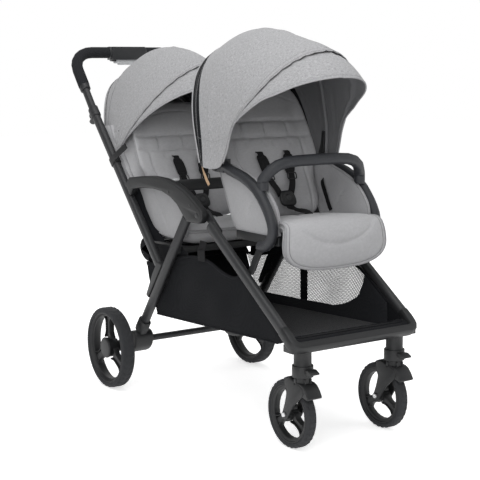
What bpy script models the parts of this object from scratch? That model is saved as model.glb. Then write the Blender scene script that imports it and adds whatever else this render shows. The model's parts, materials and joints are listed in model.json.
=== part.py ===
"""Tandem stroller with two seats, two folding canopies, a basket and a folding frame.

Run with: blender --background --python part.py, or from Blender's text editor.
Metres, +Z up, front of the stroller towards -Y. Every y below is measured from the rear axle;
one empty carries the whole stroller, and REAR_AXLE_Y puts the bounding box over the origin.
Left and right are the pusher's: right is at -X.
"""

import math

import bmesh
import bpy
from mathutils import Matrix, Vector

# Overall sizes
REAR_AXLE_Y = 0.27315
SIDES = {"right": -1, "left": 1}
GAP = 0.0003

# Rear wheels
REAR_WHEEL_R = 0.126
REAR_TYRE_W = 0.045
REAR_TYRE_T = 0.016
REAR_TRACK_HALF = 0.265
REAR_HUB_R = 0.0325
REAR_AXLE_R = 0.006
BORE_CLEARANCE = 0.0004

# Front wheels and casters
FRONT_WHEEL_R = 0.0915
FRONT_TYRE_W = 0.032
FRONT_TYRE_T = 0.014
FRONT_HUB_R = 0.017
FRONT_TRACK_HALF = 0.154
CASTER_Y = -0.863
CASTER_TRAIL = 0.048
STEM_R = 0.0235
STEM_BOTTOM_Z = 0.2
COLLAR_R = 0.028
COLLAR_H = 0.03
FORK_PLATE_T = 0.006
FORK_WHEEL_GAP = 0.0025
FRONT_BOLT_R = 0.004

# Side frames, in the plane of the tubes
FRAME_HALF = 0.205
FRONT_TUBE_HALF = 0.2
TUBE_W = 0.024
TUBE_D = 0.030
FOLD_PIVOT = (-0.455, 0.581)
FOLD_PIN_R = 0.006
NOSE_R = 0.024
ARM_W = 0.026
FRONT_TUBE_TOP = (-0.500, 0.5555)
FRONT_TUBE_END = (-0.842, 0.3215)
REAR_LEG_TOP = (-0.383, 0.5675)
REAR_LEG_END = (-0.112, 0.2145)
PUSH_FOOT = (-0.216, 0.41)
PUSH_JOINT = (0.197, 0.860)
HANDLE_TOP = (0.350, 1.046)
HOUSING_IN = 0.165
HOUSING_OUT = 0.235
CROSS_TUBE = (-0.08, 0.157)
CROSS_TUBE_R = 0.010

# Front frame
FRONT_BAR_Y = -0.890
FRONT_BAR_Z = 0.283
FRONT_BAR_D = 0.026
FRONT_BAR_H = 0.030

# Handle
HANDLE_TUBE_R = 0.011
FOAM_R = 0.0185
HANDLE_BEND_R = 0.075
FOAM_START_Z = 0.935
HANDLE_HOUSING_HALF = 0.062
LEVER_TRAVEL = 0.006

# Seats: each is placed by the crease between its base and its back
SEAT_WALL = 0.010
SEAT_BACK_T = 0.040
SEAT_HINGE_S = 0.010
SEAT_PIN_R = 0.005
BACK_SPREAD_S = 0.135
BACK_CHANNELS_UP = (0.50, 0.66, 0.84)
BACK_CHANNELS_ACROSS = (0.42,)
FRONT_SEAT = {
    "crease": (-0.560, 0.568), "top": (-0.380, 0.943), "half": 0.156, "back_half": 0.1572, "depth": 0.224,
    "base_low": 0.550, "base_high": 0.573, "rise": 0.020,
    "wall": [
        (0.060, 0.118), (0.045, 0.070), (0.018, 0.015), (0.000, -0.012), (-0.030, -0.018), (-0.185, -0.018),
        (-0.192, -0.005), (-0.190, 0.032), (-0.175, 0.058), (-0.143, 0.088), (-0.095, 0.112), (-0.020, 0.130),
        (0.030, 0.132),
    ],
}
REAR_SEAT = {
    "crease": (-0.105, 0.523), "top": (0.078, 0.880), "half": 0.176, "back_half": 0.172, "depth": 0.224,
    "base_low": 0.473, "base_high": 0.528, "rise": 0.010,
    "wall": [
        (0.068, 0.112), (0.046, 0.060), (0.020, 0.020), (-0.020, -0.030), (-0.210, -0.030), (-0.224, 0.010),
        (-0.226, 0.060), (-0.205, 0.084), (-0.150, 0.105), (-0.080, 0.120), (0.020, 0.126),
    ],
}
RAIL_H = 0.024
RAIL_W = 0.016
SIDE_ARM_R = 0.0145
SIDE_ARM_HALF = 0.1725
BUMPER_R = 0.0155
BUMPER_SOCKET = (0.1625, -0.701, 0.6885)
CALF_HALF = 0.166
CALF_LENGTH = 0.142
CALF_T = 0.022
STRAP_T = 0.003

# Canopies
CANOPY_T = 0.004
CANOPY_HALF = 0.190
FRONT_CANOPY = {
    "pivot": (-0.500, 0.722), "across": 1.87, "upward": 2.97,
    "radii": [
        (32, 0.376), (52, 0.380), (66, 0.374), (82, 0.377), (100, 0.367), (116, 0.370), (128, 0.390),
        (140, 0.407), (152, 0.412),
    ],
    "edges": ((32, 56, 0.6), (60, 62, 1.0), (132.5, 129.4, 2.0), (137.6, 144.6, 1.33)),
}
REAR_CANOPY = {
    "pivot": (0.085, 0.716), "across": 1.8, "upward": 1.9,
    "radii": [
        (38, 0.366), (52, 0.342), (66, 0.333), (82, 0.337), (100, 0.345), (116, 0.358), (128, 0.374),
        (140, 0.390), (152, 0.406),
    ],
    "edges": ((56, 44, 1.6), (66, 64, 1.0), (132.5, 131.0, 2.0), (137.6, 146.4, 1.65)),
}
CANOPY_ROOT = 0.030
CANOPY_SEAM = 0.35
EYE_R = 0.0125
EYE_T = 0.003
EYE_PIN_R = 0.004
FRONT_EYE_X = 0.1835
REAR_EYE_X = FRAME_HALF - TUBE_W / 2

# Basket
BASKET_HALF = 0.1855
BASKET_T = 0.004
BASKET_FRONT_Y = -0.800

COLOURS = {
    "frame_black": ((0.050, 0.051, 0.054), 0.45, 0.0),
    "plastic_black": ((0.022, 0.022, 0.024), 0.55, 0.0),
    "tyre_black": ((0.020, 0.020, 0.021), 0.85, 0.0),
    "foam_black": ((0.024, 0.025, 0.028), 0.90, 0.0),
    "leatherette_black": ((0.045, 0.047, 0.052), 0.60, 0.0),
    "melange_grey": ((0.43, 0.43, 0.44), 0.95, 0.0),
    "pad_grey": ((0.36, 0.36, 0.375), 0.95, 0.0),
    "basket_black": ((0.016, 0.017, 0.019), 0.90, 0.0),
    "webbing_black": ((0.012, 0.012, 0.013), 0.90, 0.0),
    "bolt_steel": ((0.60, 0.60, 0.60), 0.30, 1.0),
    "lever_grey": ((0.30, 0.30, 0.31), 0.45, 0.0),
}


class Body:
    """Collects the triangles and quads of one closed solid before it becomes an object."""

    def __init__(self):
        self.bm = bmesh.new()

    def ring(self, points):
        return [self.bm.verts.new(p) for p in points]

    def bridge(self, a, b):
        for i in range(len(a)):
            j = (i + 1) % len(a)
            self.bm.faces.new((a[i], a[j], b[j], b[i]))

    def mesh(self, name):
        bmesh.ops.recalc_face_normals(self.bm, faces=self.bm.faces)
        mesh = bpy.data.meshes.new(name)
        self.bm.to_mesh(mesh)
        self.bm.free()
        return mesh


def clear_scene():
    for obj in list(bpy.data.objects):
        bpy.data.objects.remove(obj, do_unlink=True)


def material(slot):
    """The slot's Principled material, made once."""
    found = bpy.data.materials.get(slot)
    if found:
        return found
    colour, roughness, metallic = COLOURS[slot]
    made = bpy.data.materials.new(slot)
    made.use_nodes = True
    shader = made.node_tree.nodes["Principled BSDF"]
    shader.inputs["Base Color"].default_value = (*colour, 1.0)
    shader.inputs["Roughness"].default_value = roughness
    shader.inputs["Metallic"].default_value = metallic
    made.diffuse_color = (*colour, 1.0)
    return made


def place(name, mesh, slot, origin=(0.0, 0.0, 0.0)):
    """An object of a mesh drawn in stroller coordinates, with its origin on its joint's axis."""
    mesh.transform(Matrix.Translation(-Vector(origin)))
    obj = bpy.data.objects.new(name, mesh)
    bpy.context.scene.collection.objects.link(obj)
    obj.parent = bpy.data.objects["stroller"]
    obj.location = origin
    mesh.materials.append(material(slot))
    return obj


def helper(name, mesh):
    """A cutter or an added piece for a Boolean, never a node."""
    obj = bpy.data.objects.new(name, mesh)
    bpy.context.scene.collection.objects.link(obj)
    obj.hide_render = True
    obj.display_type = "WIRE"
    return obj


def combine(name, meshes, cutters=()):
    """One mesh: the union of the meshes, less the cutters."""
    base = helper(name + "_base", meshes[0])
    helpers = [base]
    for operation, group in (("UNION", meshes[1:]), ("DIFFERENCE", cutters)):
        for number, other in enumerate(group):
            tool = helper(f"{name}_{operation.lower()}_{number}", other)
            helpers.append(tool)
            modifier = base.modifiers.new(f"{operation}_{number}", "BOOLEAN")
            modifier.operation = operation
            modifier.object = tool
            modifier.solver = "EXACT"
    bpy.context.view_layer.update()
    graph = bpy.context.evaluated_depsgraph_get()
    mesh = bpy.data.meshes.new_from_object(base.evaluated_get(graph))
    for obj in helpers:
        bpy.data.objects.remove(obj, do_unlink=True)
    return tidy(mesh)


def tidy(mesh):
    """Joins the loose points a Boolean leaves and drops faces with no area."""
    bm = bmesh.new()
    bm.from_mesh(mesh)
    bmesh.ops.remove_doubles(bm, verts=bm.verts, dist=1e-6)
    bmesh.ops.dissolve_degenerate(bm, edges=bm.edges, dist=1e-6)
    bmesh.ops.dissolve_limit(bm, angle_limit=math.radians(0.05), verts=bm.verts, edges=bm.edges)
    bmesh.ops.triangulate(bm, faces=bm.faces)
    bm.to_mesh(mesh)
    bm.free()
    return mesh


def oval(width, depth, sides=12, power=2.6):
    """A rounded section: (across, along) points round a superellipse."""
    points = []
    for i in range(sides):
        t = 2 * math.pi * (i + 0.5) / sides
        c, s = math.cos(t), math.sin(t)
        points.append((
            0.5 * width * math.copysign(abs(c) ** (2 / power), c),
            0.5 * depth * math.copysign(abs(s) ** (2 / power), s),
        ))
    return points


def sweep(name, path, section, across=(1.0, 0.0, 0.0), scales=None):
    """A closed tube along a path; the section's first axis stays as near to across as it can."""
    path = [Vector(p) for p in path]
    across = Vector(across)
    body = Body()
    rings = []
    for i, here in enumerate(path):
        before = path[max(i - 1, 0)]
        after = path[min(i + 1, len(path) - 1)]
        tangent = (after - before).normalized()
        side = (across - across.dot(tangent) * tangent).normalized()
        up = tangent.cross(side)
        size = scales[i] if scales else 1.0
        rings.append(body.ring([here + side * a * size + up * b * size for a, b in section]))
        across = side
    for a, b in zip(rings, rings[1:]):
        body.bridge(a, b)
    body.bm.faces.new(rings[0])
    body.bm.faces.new(list(reversed(rings[-1])))
    return body.mesh(name)


def sleeve(name, path, outer, inner, across=(1.0, 0.0, 0.0)):
    """A tube with a bore along a path."""
    path = [Vector(p) for p in path]
    across = Vector(across)
    body = Body()
    rings = []
    for i, here in enumerate(path):
        tangent = (path[min(i + 1, len(path) - 1)] - path[max(i - 1, 0)]).normalized()
        side = (across - across.dot(tangent) * tangent).normalized()
        up = tangent.cross(side)
        rings.append([
            body.ring([here + side * a + up * b for a, b in section]) for section in (outer, inner)
        ])
        across = side
    for (a, c), (b, d) in zip(rings, rings[1:]):
        body.bridge(a, b)
        body.bridge(d, c)
    body.bridge(rings[0][1], rings[0][0])
    body.bridge(rings[-1][0], rings[-1][1])
    return body.mesh(name)


def plate(name, outline, x0, x1, bevel=0.0):
    """A flat piece: an outline of (y, z) points from x0 to x1, its two faces drawn in by a bevel."""
    body = Body()
    low, high = min(x0, x1), max(x0, x1)
    rings = []
    for x, inset in ((low, bevel), (low + bevel, 0.0), (high - bevel, 0.0), (high, bevel)):
        if bevel == 0.0 and len(rings) in (1, 3):
            rings.append(None)
            continue
        rings.append(body.ring([(x, *drawn_in(outline, i, inset)) for i in range(len(outline))]))
    rings = [r for r in rings if r]
    for a, b in zip(rings, rings[1:]):
        body.bridge(a, b)
    body.bm.faces.new(rings[0])
    body.bm.faces.new(list(reversed(rings[-1])))
    return body.mesh(name)


def drawn_in(outline, i, inset):
    """Point i of an anticlockwise or clockwise outline, moved in from both its sides."""
    if inset == 0.0:
        return outline[i]
    count = len(outline)
    area = sum(
        outline[k][0] * outline[(k + 1) % count][1] - outline[(k + 1) % count][0] * outline[k][1]
        for k in range(count)
    )
    turn = 1.0 if area > 0 else -1.0
    here = Vector(outline[i])
    before = (here - Vector(outline[i - 1])).normalized()
    after = (Vector(outline[(i + 1) % count]) - here).normalized()
    normal = Vector((-(before.y + after.y), before.x + after.x)) * turn
    normal.normalize()
    cosine = max(0.5, normal.dot(Vector((-before.y, before.x)) * turn))
    moved = here + normal * inset / cosine
    return (moved.x, moved.y)


def turned(name, profile, centre, steps=28, start=0.0):
    """A solid turned about the X direction: a closed loop of (x, radius) points, centre in (y, z)."""
    body = Body()
    rings = []
    for i in range(steps):
        t = start + 2 * math.pi * i / steps
        c, s = math.cos(t), math.sin(t)
        rings.append([(x, centre[0] + r * c, centre[1] + r * s) for x, r in profile])
    on_axis = {}
    made = []
    for ring in rings:
        row = []
        for k, point in enumerate(ring):
            if profile[k][1] == 0.0:
                if k not in on_axis:
                    on_axis[k] = body.bm.verts.new(point)
                row.append(on_axis[k])
            else:
                row.append(body.bm.verts.new(point))
        made.append(row)
    count = len(profile)
    for i in range(steps):
        a, b = made[i], made[(i + 1) % steps]
        for k in range(count):
            n = (k + 1) % count
            corners = [a[k], a[n], b[n], b[k]]
            face = [v for j, v in enumerate(corners) if v not in corners[:j]]
            if len(face) > 2:
                body.bm.faces.new(face)
    return body.mesh(name)


def post(name, x, y, z0, z1, radius, steps=16, top_radius=None):
    """An upright cylinder or cone."""
    body = Body()
    rings = []
    for z, r in ((z0, radius), (z1, radius if top_radius is None else top_radius)):
        rings.append(body.ring([
            (x + r * math.cos(2 * math.pi * i / steps), y + r * math.sin(2 * math.pi * i / steps), z)
            for i in range(steps)
        ]))
    body.bridge(*rings)
    body.bm.faces.new(rings[0])
    body.bm.faces.new(list(reversed(rings[1])))
    return body.mesh(name)


def pin(name, x0, x1, centre, radius, steps=16):
    """A cylinder along X."""
    return turned(name, [(x0, 0.0), (x0, radius), (x1, radius), (x1, 0.0)], centre, steps)


def block(name, low, high):
    return plate(
        name,
        [(low[1], low[2]), (high[1], low[2]), (high[1], high[2]), (low[1], high[2])],
        low[0],
        high[0],
    )


def along(a, b, share):
    return tuple(p + (q - p) * share for p, q in zip(a, b))


def unit(a, b):
    length = math.dist(a, b)
    return ((b[0] - a[0]) / length, (b[1] - a[1]) / length)


def rounded(points, radius, steps=5):
    """A path whose inner corners are arcs of the radius."""
    path = [Vector(points[0])]
    for before, here, after in zip(points, points[1:], points[2:]):
        before, here, after = Vector(before), Vector(here), Vector(after)
        a, b = (before - here).normalized(), (after - here).normalized()
        half = a.angle(b) / 2
        reach = min(radius / math.tan(half), 0.49 * (before - here).length, 0.49 * (after - here).length)
        centre = here + (a + b).normalized() * (reach / math.cos(half))
        start, end = here + a * reach - centre, here + b * reach - centre
        sweep_angle = start.angle(end)
        for i in range(steps + 1):
            t = i / steps
            point = (
                start * math.sin((1 - t) * sweep_angle) + end * math.sin(t * sweep_angle)
            ) / math.sin(sweep_angle)
            path.append(centre + point)
    path.append(Vector(points[-1]))
    return path


def tyre(name, x, axle, radius, width, thickness, steps):
    """A tyre whose tread is rounded at both shoulders."""
    half = width / 2
    inner = radius - thickness
    profile = [
        (x - half * 0.62, inner),
        (x - half, inner + thickness * 0.35),
        (x - half, inner + thickness * 0.70),
        (x - half * 0.60, radius - 0.0015),
        (x, radius),
        (x + half * 0.60, radius - 0.0015),
        (x + half, inner + thickness * 0.70),
        (x + half, inner + thickness * 0.35),
        (x + half * 0.62, inner),
    ]
    place(name, turned(name, profile, axle, steps), "tyre_black", (x, *axle))


def rim(name, x, side, axle, radius, hub_radius, half_width, bore, spoke_width, steps, through):
    """A rim with three spokes; side points outwards. The bore is closed by the cap unless through."""
    outer, inner = x + side * half_width, x - side * half_width
    ring = [
        (x - 0.012, radius), (x + 0.012, radius), (x + 0.009, radius - 0.011), (x - 0.009, radius - 0.011),
    ]
    if through:
        hub = [(inner, bore), (outer, bore), (outer, hub_radius), (inner, hub_radius)]
    else:
        blind = outer - side * 0.008
        hub = [
            (inner, bore), (blind, bore), (blind, 0.0), (outer, 0.0),
            (outer, hub_radius - 0.004), (outer - side * 0.005, hub_radius), (inner, hub_radius * 0.7),
        ]
    meshes = [turned(name, ring, axle, steps), turned(name, hub, axle, 20)]
    for k in range(3):
        turn = math.radians(90 + 120 * k)
        direction = Vector((0.0, math.cos(turn), math.sin(turn)))
        start, end = direction * (bore + 0.006), direction * (radius - 0.005)
        centre = Vector((x, *axle))
        path = [centre + start, centre + end]
        meshes.append(sweep(name, path, oval(0.014, spoke_width, 4, 2.0)))
    place(name, combine(name, meshes), "plastic_black", (x, *axle))


def rear_wheels():
    axle = (0.0, REAR_WHEEL_R)
    rim_radius = REAR_WHEEL_R - REAR_TYRE_T - GAP
    for word, side in SIDES.items():
        x = side * REAR_TRACK_HALF
        tyre(f"rear_tyre_{word}", x, axle, REAR_WHEEL_R, REAR_TYRE_W, REAR_TYRE_T, 32)
        rim(
            f"rear_rim_{word}", x, side, axle, rim_radius, REAR_HUB_R,
            REAR_TYRE_W / 2 - 0.0015, REAR_AXLE_R + BORE_CLEARANCE, 0.024, 32, False,
        )


def front_wheels():
    axle = (CASTER_Y + CASTER_TRAIL, FRONT_WHEEL_R)
    rim_radius = FRONT_WHEEL_R - FRONT_TYRE_T - GAP
    for word, side in SIDES.items():
        x = side * FRONT_TRACK_HALF
        tyre(f"front_tyre_{word}", x, axle, FRONT_WHEEL_R, FRONT_TYRE_W, FRONT_TYRE_T, 28)
        rim(
            f"front_rim_{word}", x, side, axle, rim_radius, FRONT_HUB_R,
            FRONT_TYRE_W / 2, FRONT_BOLT_R + BORE_CLEARANCE, 0.018, 28, True,
        )


def casters():
    """The fork that swivels under each stem, and the bolt that is the wheel's axle."""
    axle = (CASTER_Y + CASTER_TRAIL, FRONT_WHEEL_R)
    wheel_clear = FRONT_WHEEL_R + 0.004
    inner = FRONT_TYRE_W / 2 + FORK_WHEEL_GAP
    outer = inner + FORK_PLATE_T
    top = STEM_BOTTOM_Z - GAP
    for word, side in SIDES.items():
        x = side * FRONT_TRACK_HALF
        arch = []
        for k in range(9):
            t = math.radians(66 + 72 * k / 8)
            arch.append((axle[0] + wheel_clear * math.cos(t), axle[1] + wheel_clear * math.sin(t)))
        crown = arch + [
            (CASTER_Y - 0.052, 0.158), (CASTER_Y - 0.054, 0.166), (CASTER_Y - 0.032, 0.178),
            (CASTER_Y - 0.024, top - 0.002), (CASTER_Y + 0.022, top - 0.002),
            (CASTER_Y + 0.052, 0.196),
        ]
        legs = [
            (axle[0] + 0.013, axle[1] - 0.003), (axle[0] + 0.012, axle[1] + 0.010),
            (axle[0] + 0.018, axle[1] + 0.062), (CASTER_Y + 0.052, 0.196),
            (CASTER_Y + 0.022, top - 0.003), (CASTER_Y - 0.022, top - 0.003),
            (CASTER_Y - 0.034, 0.166), (CASTER_Y - 0.020, 0.140), (axle[0] - 0.014, axle[1] + 0.012),
            (axle[0] - 0.012, axle[1] - 0.008), (axle[0], axle[1] - 0.014),
        ]
        meshes = [
            plate("crown", crown, x - outer + 0.001, x + outer - 0.001),
            plate("leg", legs, x + inner, x + outer, 0.001),
            plate("leg", legs, x - outer, x - inner, 0.001),
            post("boss", x, CASTER_Y, top - 0.012, top, STEM_R + 0.001, 20),
        ]
        hole = pin("hole", x - outer - 0.01, x + outer + 0.01, axle, FRONT_BOLT_R + BORE_CLEARANCE, 12)
        name = f"fork_{word}"
        place(name, combine(name, meshes, [hole]), "plastic_black", (x, CASTER_Y, top))
        head = outer + GAP
        profile = [
            (x - head - 0.005, 0.0), (x - head - 0.005, 0.006), (x - head, 0.0075), (x - head, FRONT_BOLT_R),
            (x + head, FRONT_BOLT_R), (x + head, 0.0075), (x + head + 0.005, 0.006), (x + head + 0.005, 0.0),
        ]
        name = f"axle_bolt_{word}"
        place(name, turned(name, profile, axle, 12), "bolt_steel", (x, *axle))


def swivel_locks():
    """The foot tab in front of each stem's collar, hinged on the collar's front."""
    for word, side in SIDES.items():
        x = side * FRONT_TRACK_HALF
        near = CASTER_Y - COLLAR_R - GAP
        low, high = STEM_BOTTOM_Z + 0.010, STEM_BOTTOM_Z + 0.024
        outline = [
            (near - 0.0045, low + 0.002), (near, high - 0.003), (near, high), (near - 0.012, high + 0.001),
            (near - 0.026, high - 0.006), (near - 0.026, high - 0.010), (near - 0.010, low),
        ]
        name = f"swivel_lock_{word}"
        mesh = plate(name, outline, x - 0.014, x + 0.014, 0.001)
        place(name, mesh, "plastic_black", (x, near - 0.003, high - 0.003))


def front_frame():
    """The moulded U between the front tubes, with the two stems that carry the casters."""
    d = unit(FRONT_TUBE_TOP, FRONT_TUBE_END)
    start = (FRONT_TUBE_END[0] + d[0] * GAP, FRONT_TUBE_END[1] + d[1] * GAP)
    low = (start[0] + d[0] * 0.022, start[1] + d[1] * 0.022)
    half = FRONT_TUBE_HALF
    corners = [
        (-half, *start), (-half, *low), (-half, FRONT_BAR_Y, FRONT_BAR_Z),
        (half, FRONT_BAR_Y, FRONT_BAR_Z), (half, *low), (half, *start),
    ]
    path = rounded(corners, 0.045, 4)
    bar = sweep("bar", path, oval(FRONT_BAR_D, FRONT_BAR_H, 10, 3.4), across=(1.0, 0.0, 0.0))
    meshes = [bar]
    top = FRONT_BAR_Z - 0.006
    for side in SIDES.values():
        x = side * FRONT_TRACK_HALF
        meshes.append(post("stem", x, CASTER_Y, STEM_BOTTOM_Z, top + 0.004, STEM_R, 14))
        collar_low = STEM_BOTTOM_Z + 0.0005
        meshes.append(post("collar", x, CASTER_Y, collar_low, STEM_BOTTOM_Z + COLLAR_H, COLLAR_R, 16))
        inner, outer = FRONT_TRACK_HALF - 0.022, FRONT_TUBE_HALF + 0.006
        low_x, high_x = sorted((side * inner, side * outer))
        near, far = (low_x, FRONT_BAR_Y, FRONT_BAR_Z - 0.013), (high_x, CASTER_Y + 0.012, top + 0.012)
        meshes.append(block("gusset", near, far))
    name = "front_frame"
    place(name, combine(name, meshes), "plastic_black")


def front_tubes():
    """A tube from each fold pivot to the front frame, with the lug and pin that turn in the arm's nose."""
    d = unit(FRONT_TUBE_TOP, FRONT_TUBE_END)
    for word, side in SIDES.items():
        x = side * FRONT_TUBE_HALF
        path = [(x, *FRONT_TUBE_TOP), (x, *FRONT_TUBE_END)]
        tube = sweep("tube", path, oval(TUBE_W, TUBE_D))
        nose_in = FRAME_HALF - ARM_W / 2
        lug_out = nose_in - GAP
        lug_in = lug_out - 0.009
        end = (FRONT_TUBE_TOP[0] + d[0] * 0.030, FRONT_TUBE_TOP[1] + d[1] * 0.030)
        p = FOLD_PIVOT
        outline = [
            (p[0] + 0.012, p[1] + 0.009), (p[0] - 0.002, p[1] + 0.015), (p[0] - 0.014, p[1] + 0.012),
            (end[0] - d[1] * -0.010, end[1] - d[0] * 0.010), (end[0] + d[1] * 0.010, end[1] - d[0] * -0.010),
            (p[0] - 0.006, p[1] - 0.014), (p[0] + 0.008, p[1] - 0.013), (p[0] + 0.015, p[1] - 0.002),
        ]
        lug = plate("lug", outline, side * lug_in, side * lug_out)
        step = block(
            "step",
            (min(side * lug_in, side * (FRONT_TUBE_HALF - 0.002)), end[0] - 0.008, end[1] - 0.008),
            (max(side * lug_in, side * (FRONT_TUBE_HALF - 0.002)), end[0] + 0.008, end[1] + 0.008),
        )
        pin_end = FRAME_HALF + ARM_W / 2 + 0.001
        fold_pin = pin("pin", side * (lug_out - 0.004), side * pin_end, p, FOLD_PIN_R)
        name = f"front_tube_{word}"
        place(name, combine(name, [tube, lug, step, fold_pin]), "frame_black", (x, *p))


def arm_outline():
    """The rear arm's side view: from the push tube, over the top, round the nose, back to the leg."""
    nose = FOLD_PIVOT
    points = [
        (-0.030, 0.6345), (-0.054, 0.660), (-0.130, 0.669), (-0.200, 0.674), (-0.265, 0.672),
        (-0.330, 0.662), (-0.385, 0.645), (-0.430, 0.622), (-0.458, 0.605),
    ]
    for k in range(7):
        t = math.radians(118 + 26 * k)
        points.append((nose[0] + NOSE_R * math.cos(t), nose[1] + NOSE_R * math.sin(t)))
    d = unit(REAR_LEG_TOP, REAR_LEG_END)
    foot = (REAR_LEG_TOP[0] - d[0] * GAP, REAR_LEG_TOP[1] - d[1] * GAP)
    half = 0.5 * TUBE_D + 0.001
    points.append((foot[0] + d[1] * half, foot[1] - d[0] * half))
    points.append((foot[0] - d[1] * half, foot[1] + d[0] * half))
    points += [(-0.345, 0.600), (-0.305, 0.620), (-0.250, 0.634), (-0.200, 0.637)]
    points += [(-0.130, 0.634), (-0.075, 0.627)]
    points.append((-0.060, 0.605))
    return points


def rear_arms():
    for word, side in SIDES.items():
        name = f"rear_arm_{word}"
        x0, x1 = side * (FRAME_HALF - ARM_W / 2), side * (FRAME_HALF + ARM_W / 2)
        body = plate(name, arm_outline(), x0, x1, 0.004)
        low, high = side * (FRAME_HALF - ARM_W), side * (FRAME_HALF + ARM_W)
        hole = pin("hole", low, high, FOLD_PIVOT, FOLD_PIN_R + BORE_CLEARANCE)
        place(name, combine(name, [body], [hole]), "plastic_black")


def rear_legs():
    for word, side in SIDES.items():
        x = side * FRAME_HALF
        name = f"rear_leg_{word}"
        path = [(x, *REAR_LEG_TOP), (x, *REAR_LEG_END)]
        place(name, sweep(name, path, oval(TUBE_W, TUBE_D)), "frame_black")


def rear_housings():
    """The block under each rear leg, with the stub that the wheel turns on and the cross tube's seat."""
    d = unit(REAR_LEG_TOP, REAR_LEG_END)
    seat = (REAR_LEG_END[0] + d[0] * GAP, REAR_LEG_END[1] + d[1] * GAP)
    half = 0.5 * TUBE_D + 0.004
    for word, side in SIDES.items():
        outline = [
            (seat[0] + d[1] * half, seat[1] - d[0] * half), (seat[0] - d[1] * half, seat[1] + d[0] * half),
            (-0.066, 0.186), (-0.018, 0.150), (0.014, 0.145), (0.022, REAR_WHEEL_R),
            (0.014, 0.108), (-0.030, 0.106), (-0.092, 0.124), (-0.122, 0.160),
        ]
        body = plate("body", outline, side * HOUSING_IN, side * HOUSING_OUT, 0.003)
        axle = (0.0, REAR_WHEEL_R)
        tip = side * (REAR_TRACK_HALF + 0.010)
        stub = pin("stub", side * (HOUSING_OUT - 0.01), tip, axle, REAR_AXLE_R)
        boss = pin("boss", side * (HOUSING_OUT - 0.01), side * (HOUSING_OUT + 0.005), axle, 0.016)
        name = f"rear_housing_{word}"
        place(name, combine(name, [body, stub, boss]), "plastic_black")


def cross_tube():
    reach = HOUSING_IN - GAP
    place("cross_tube", pin("cross_tube", -reach, reach, CROSS_TUBE, CROSS_TUBE_R), "frame_black")


def brake_pedal():
    """A foot lever that turns on the cross tube beside the left housing."""
    y, z = CROSS_TUBE
    outline = [
        (y - 0.016, z - 0.008), (y - 0.016, z + 0.010), (y - 0.004, z + 0.018), (y + 0.020, z + 0.022),
        (y + 0.075, z + 0.040), (y + 0.080, z + 0.034), (y + 0.030, z - 0.002), (y + 0.010, z - 0.016),
    ]
    body = plate("lever", outline, HOUSING_IN - 0.050, HOUSING_IN - 0.004, 0.002)
    hole = pin("hole", 0.0, HOUSING_IN + 0.05, CROSS_TUBE, CROSS_TUBE_R + BORE_CLEARANCE)
    place("brake_pedal", combine("brake_pedal", [body], [hole]), "plastic_black", (HOUSING_IN - 0.027, y, z))


def push_tubes():
    """A tube from each rear leg past the arm to the handle, with its foot on the leg and its collar."""
    d = unit(PUSH_FOOT, PUSH_JOINT)
    leg = unit(REAR_LEG_TOP, REAR_LEG_END)
    back = (-leg[1], leg[0])
    for word, side in SIDES.items():
        x = side * FRAME_HALF
        tube = sweep("tube", [(x, *PUSH_FOOT), (x, *PUSH_JOINT)], oval(TUBE_W, TUBE_D - 0.002))
        collar_low = (PUSH_JOINT[0] - d[0] * 0.030, PUSH_JOINT[1] - d[1] * 0.030)
        collar_high = (PUSH_JOINT[0] + d[0] * 0.006, PUSH_JOINT[1] + d[1] * 0.006)
        collar = sweep("collar", [(x, *collar_low), (x, *collar_high)], oval(TUBE_W + 0.005, TUBE_D + 0.005))
        knob = (PUSH_JOINT[0] - d[0] * 0.022, PUSH_JOINT[1] - d[1] * 0.022)
        near = (knob[0] + d[1] * 0.010, knob[1] - d[0] * 0.010)
        far = (knob[0] + d[1] * 0.034, knob[1] - d[0] * 0.034)
        stud = sweep("stud", [(x, *near), (x, *far)], oval(0.020, 0.020, 10, 2.0))
        skin = 0.5 * TUBE_D + GAP
        foot = []
        for reach, off in (
            (0.205, skin), (0.345, skin), (0.345, skin + 0.014), (0.262, skin + 0.024), (0.215, skin + 0.024)
        ):
            foot.append((
                REAR_LEG_TOP[0] + leg[0] * reach + back[0] * off,
                REAR_LEG_TOP[1] + leg[1] * reach + back[1] * off,
            ))
        shoe = plate("shoe", foot, side * (FRAME_HALF - 0.012), side * (FRAME_HALF + 0.012), 0.002)
        stub_ends = side * (REAR_EYE_X + 0.004), side * (REAR_EYE_X - 0.0105)
        stub = pin("stub", *stub_ends, REAR_CANOPY["pivot"], EYE_PIN_R, 12)
        name = f"push_tube_{word}"
        place(name, combine(name, [tube, collar, stud, shoe, stub]), "frame_black")


def handle_path(start_share, bend_steps=6):
    """Half of the handle's centre line, right side first, from the joint towards the middle."""
    base = (-FRAME_HALF, *PUSH_JOINT)
    corner = (-FRAME_HALF, *HANDLE_TOP)
    middle = (0.0, *HANDLE_TOP)
    path = rounded([base, corner, middle], HANDLE_BEND_R, bend_steps)
    start = Vector(base).lerp(Vector(corner), start_share)
    return [start] + path[1:]


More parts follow.
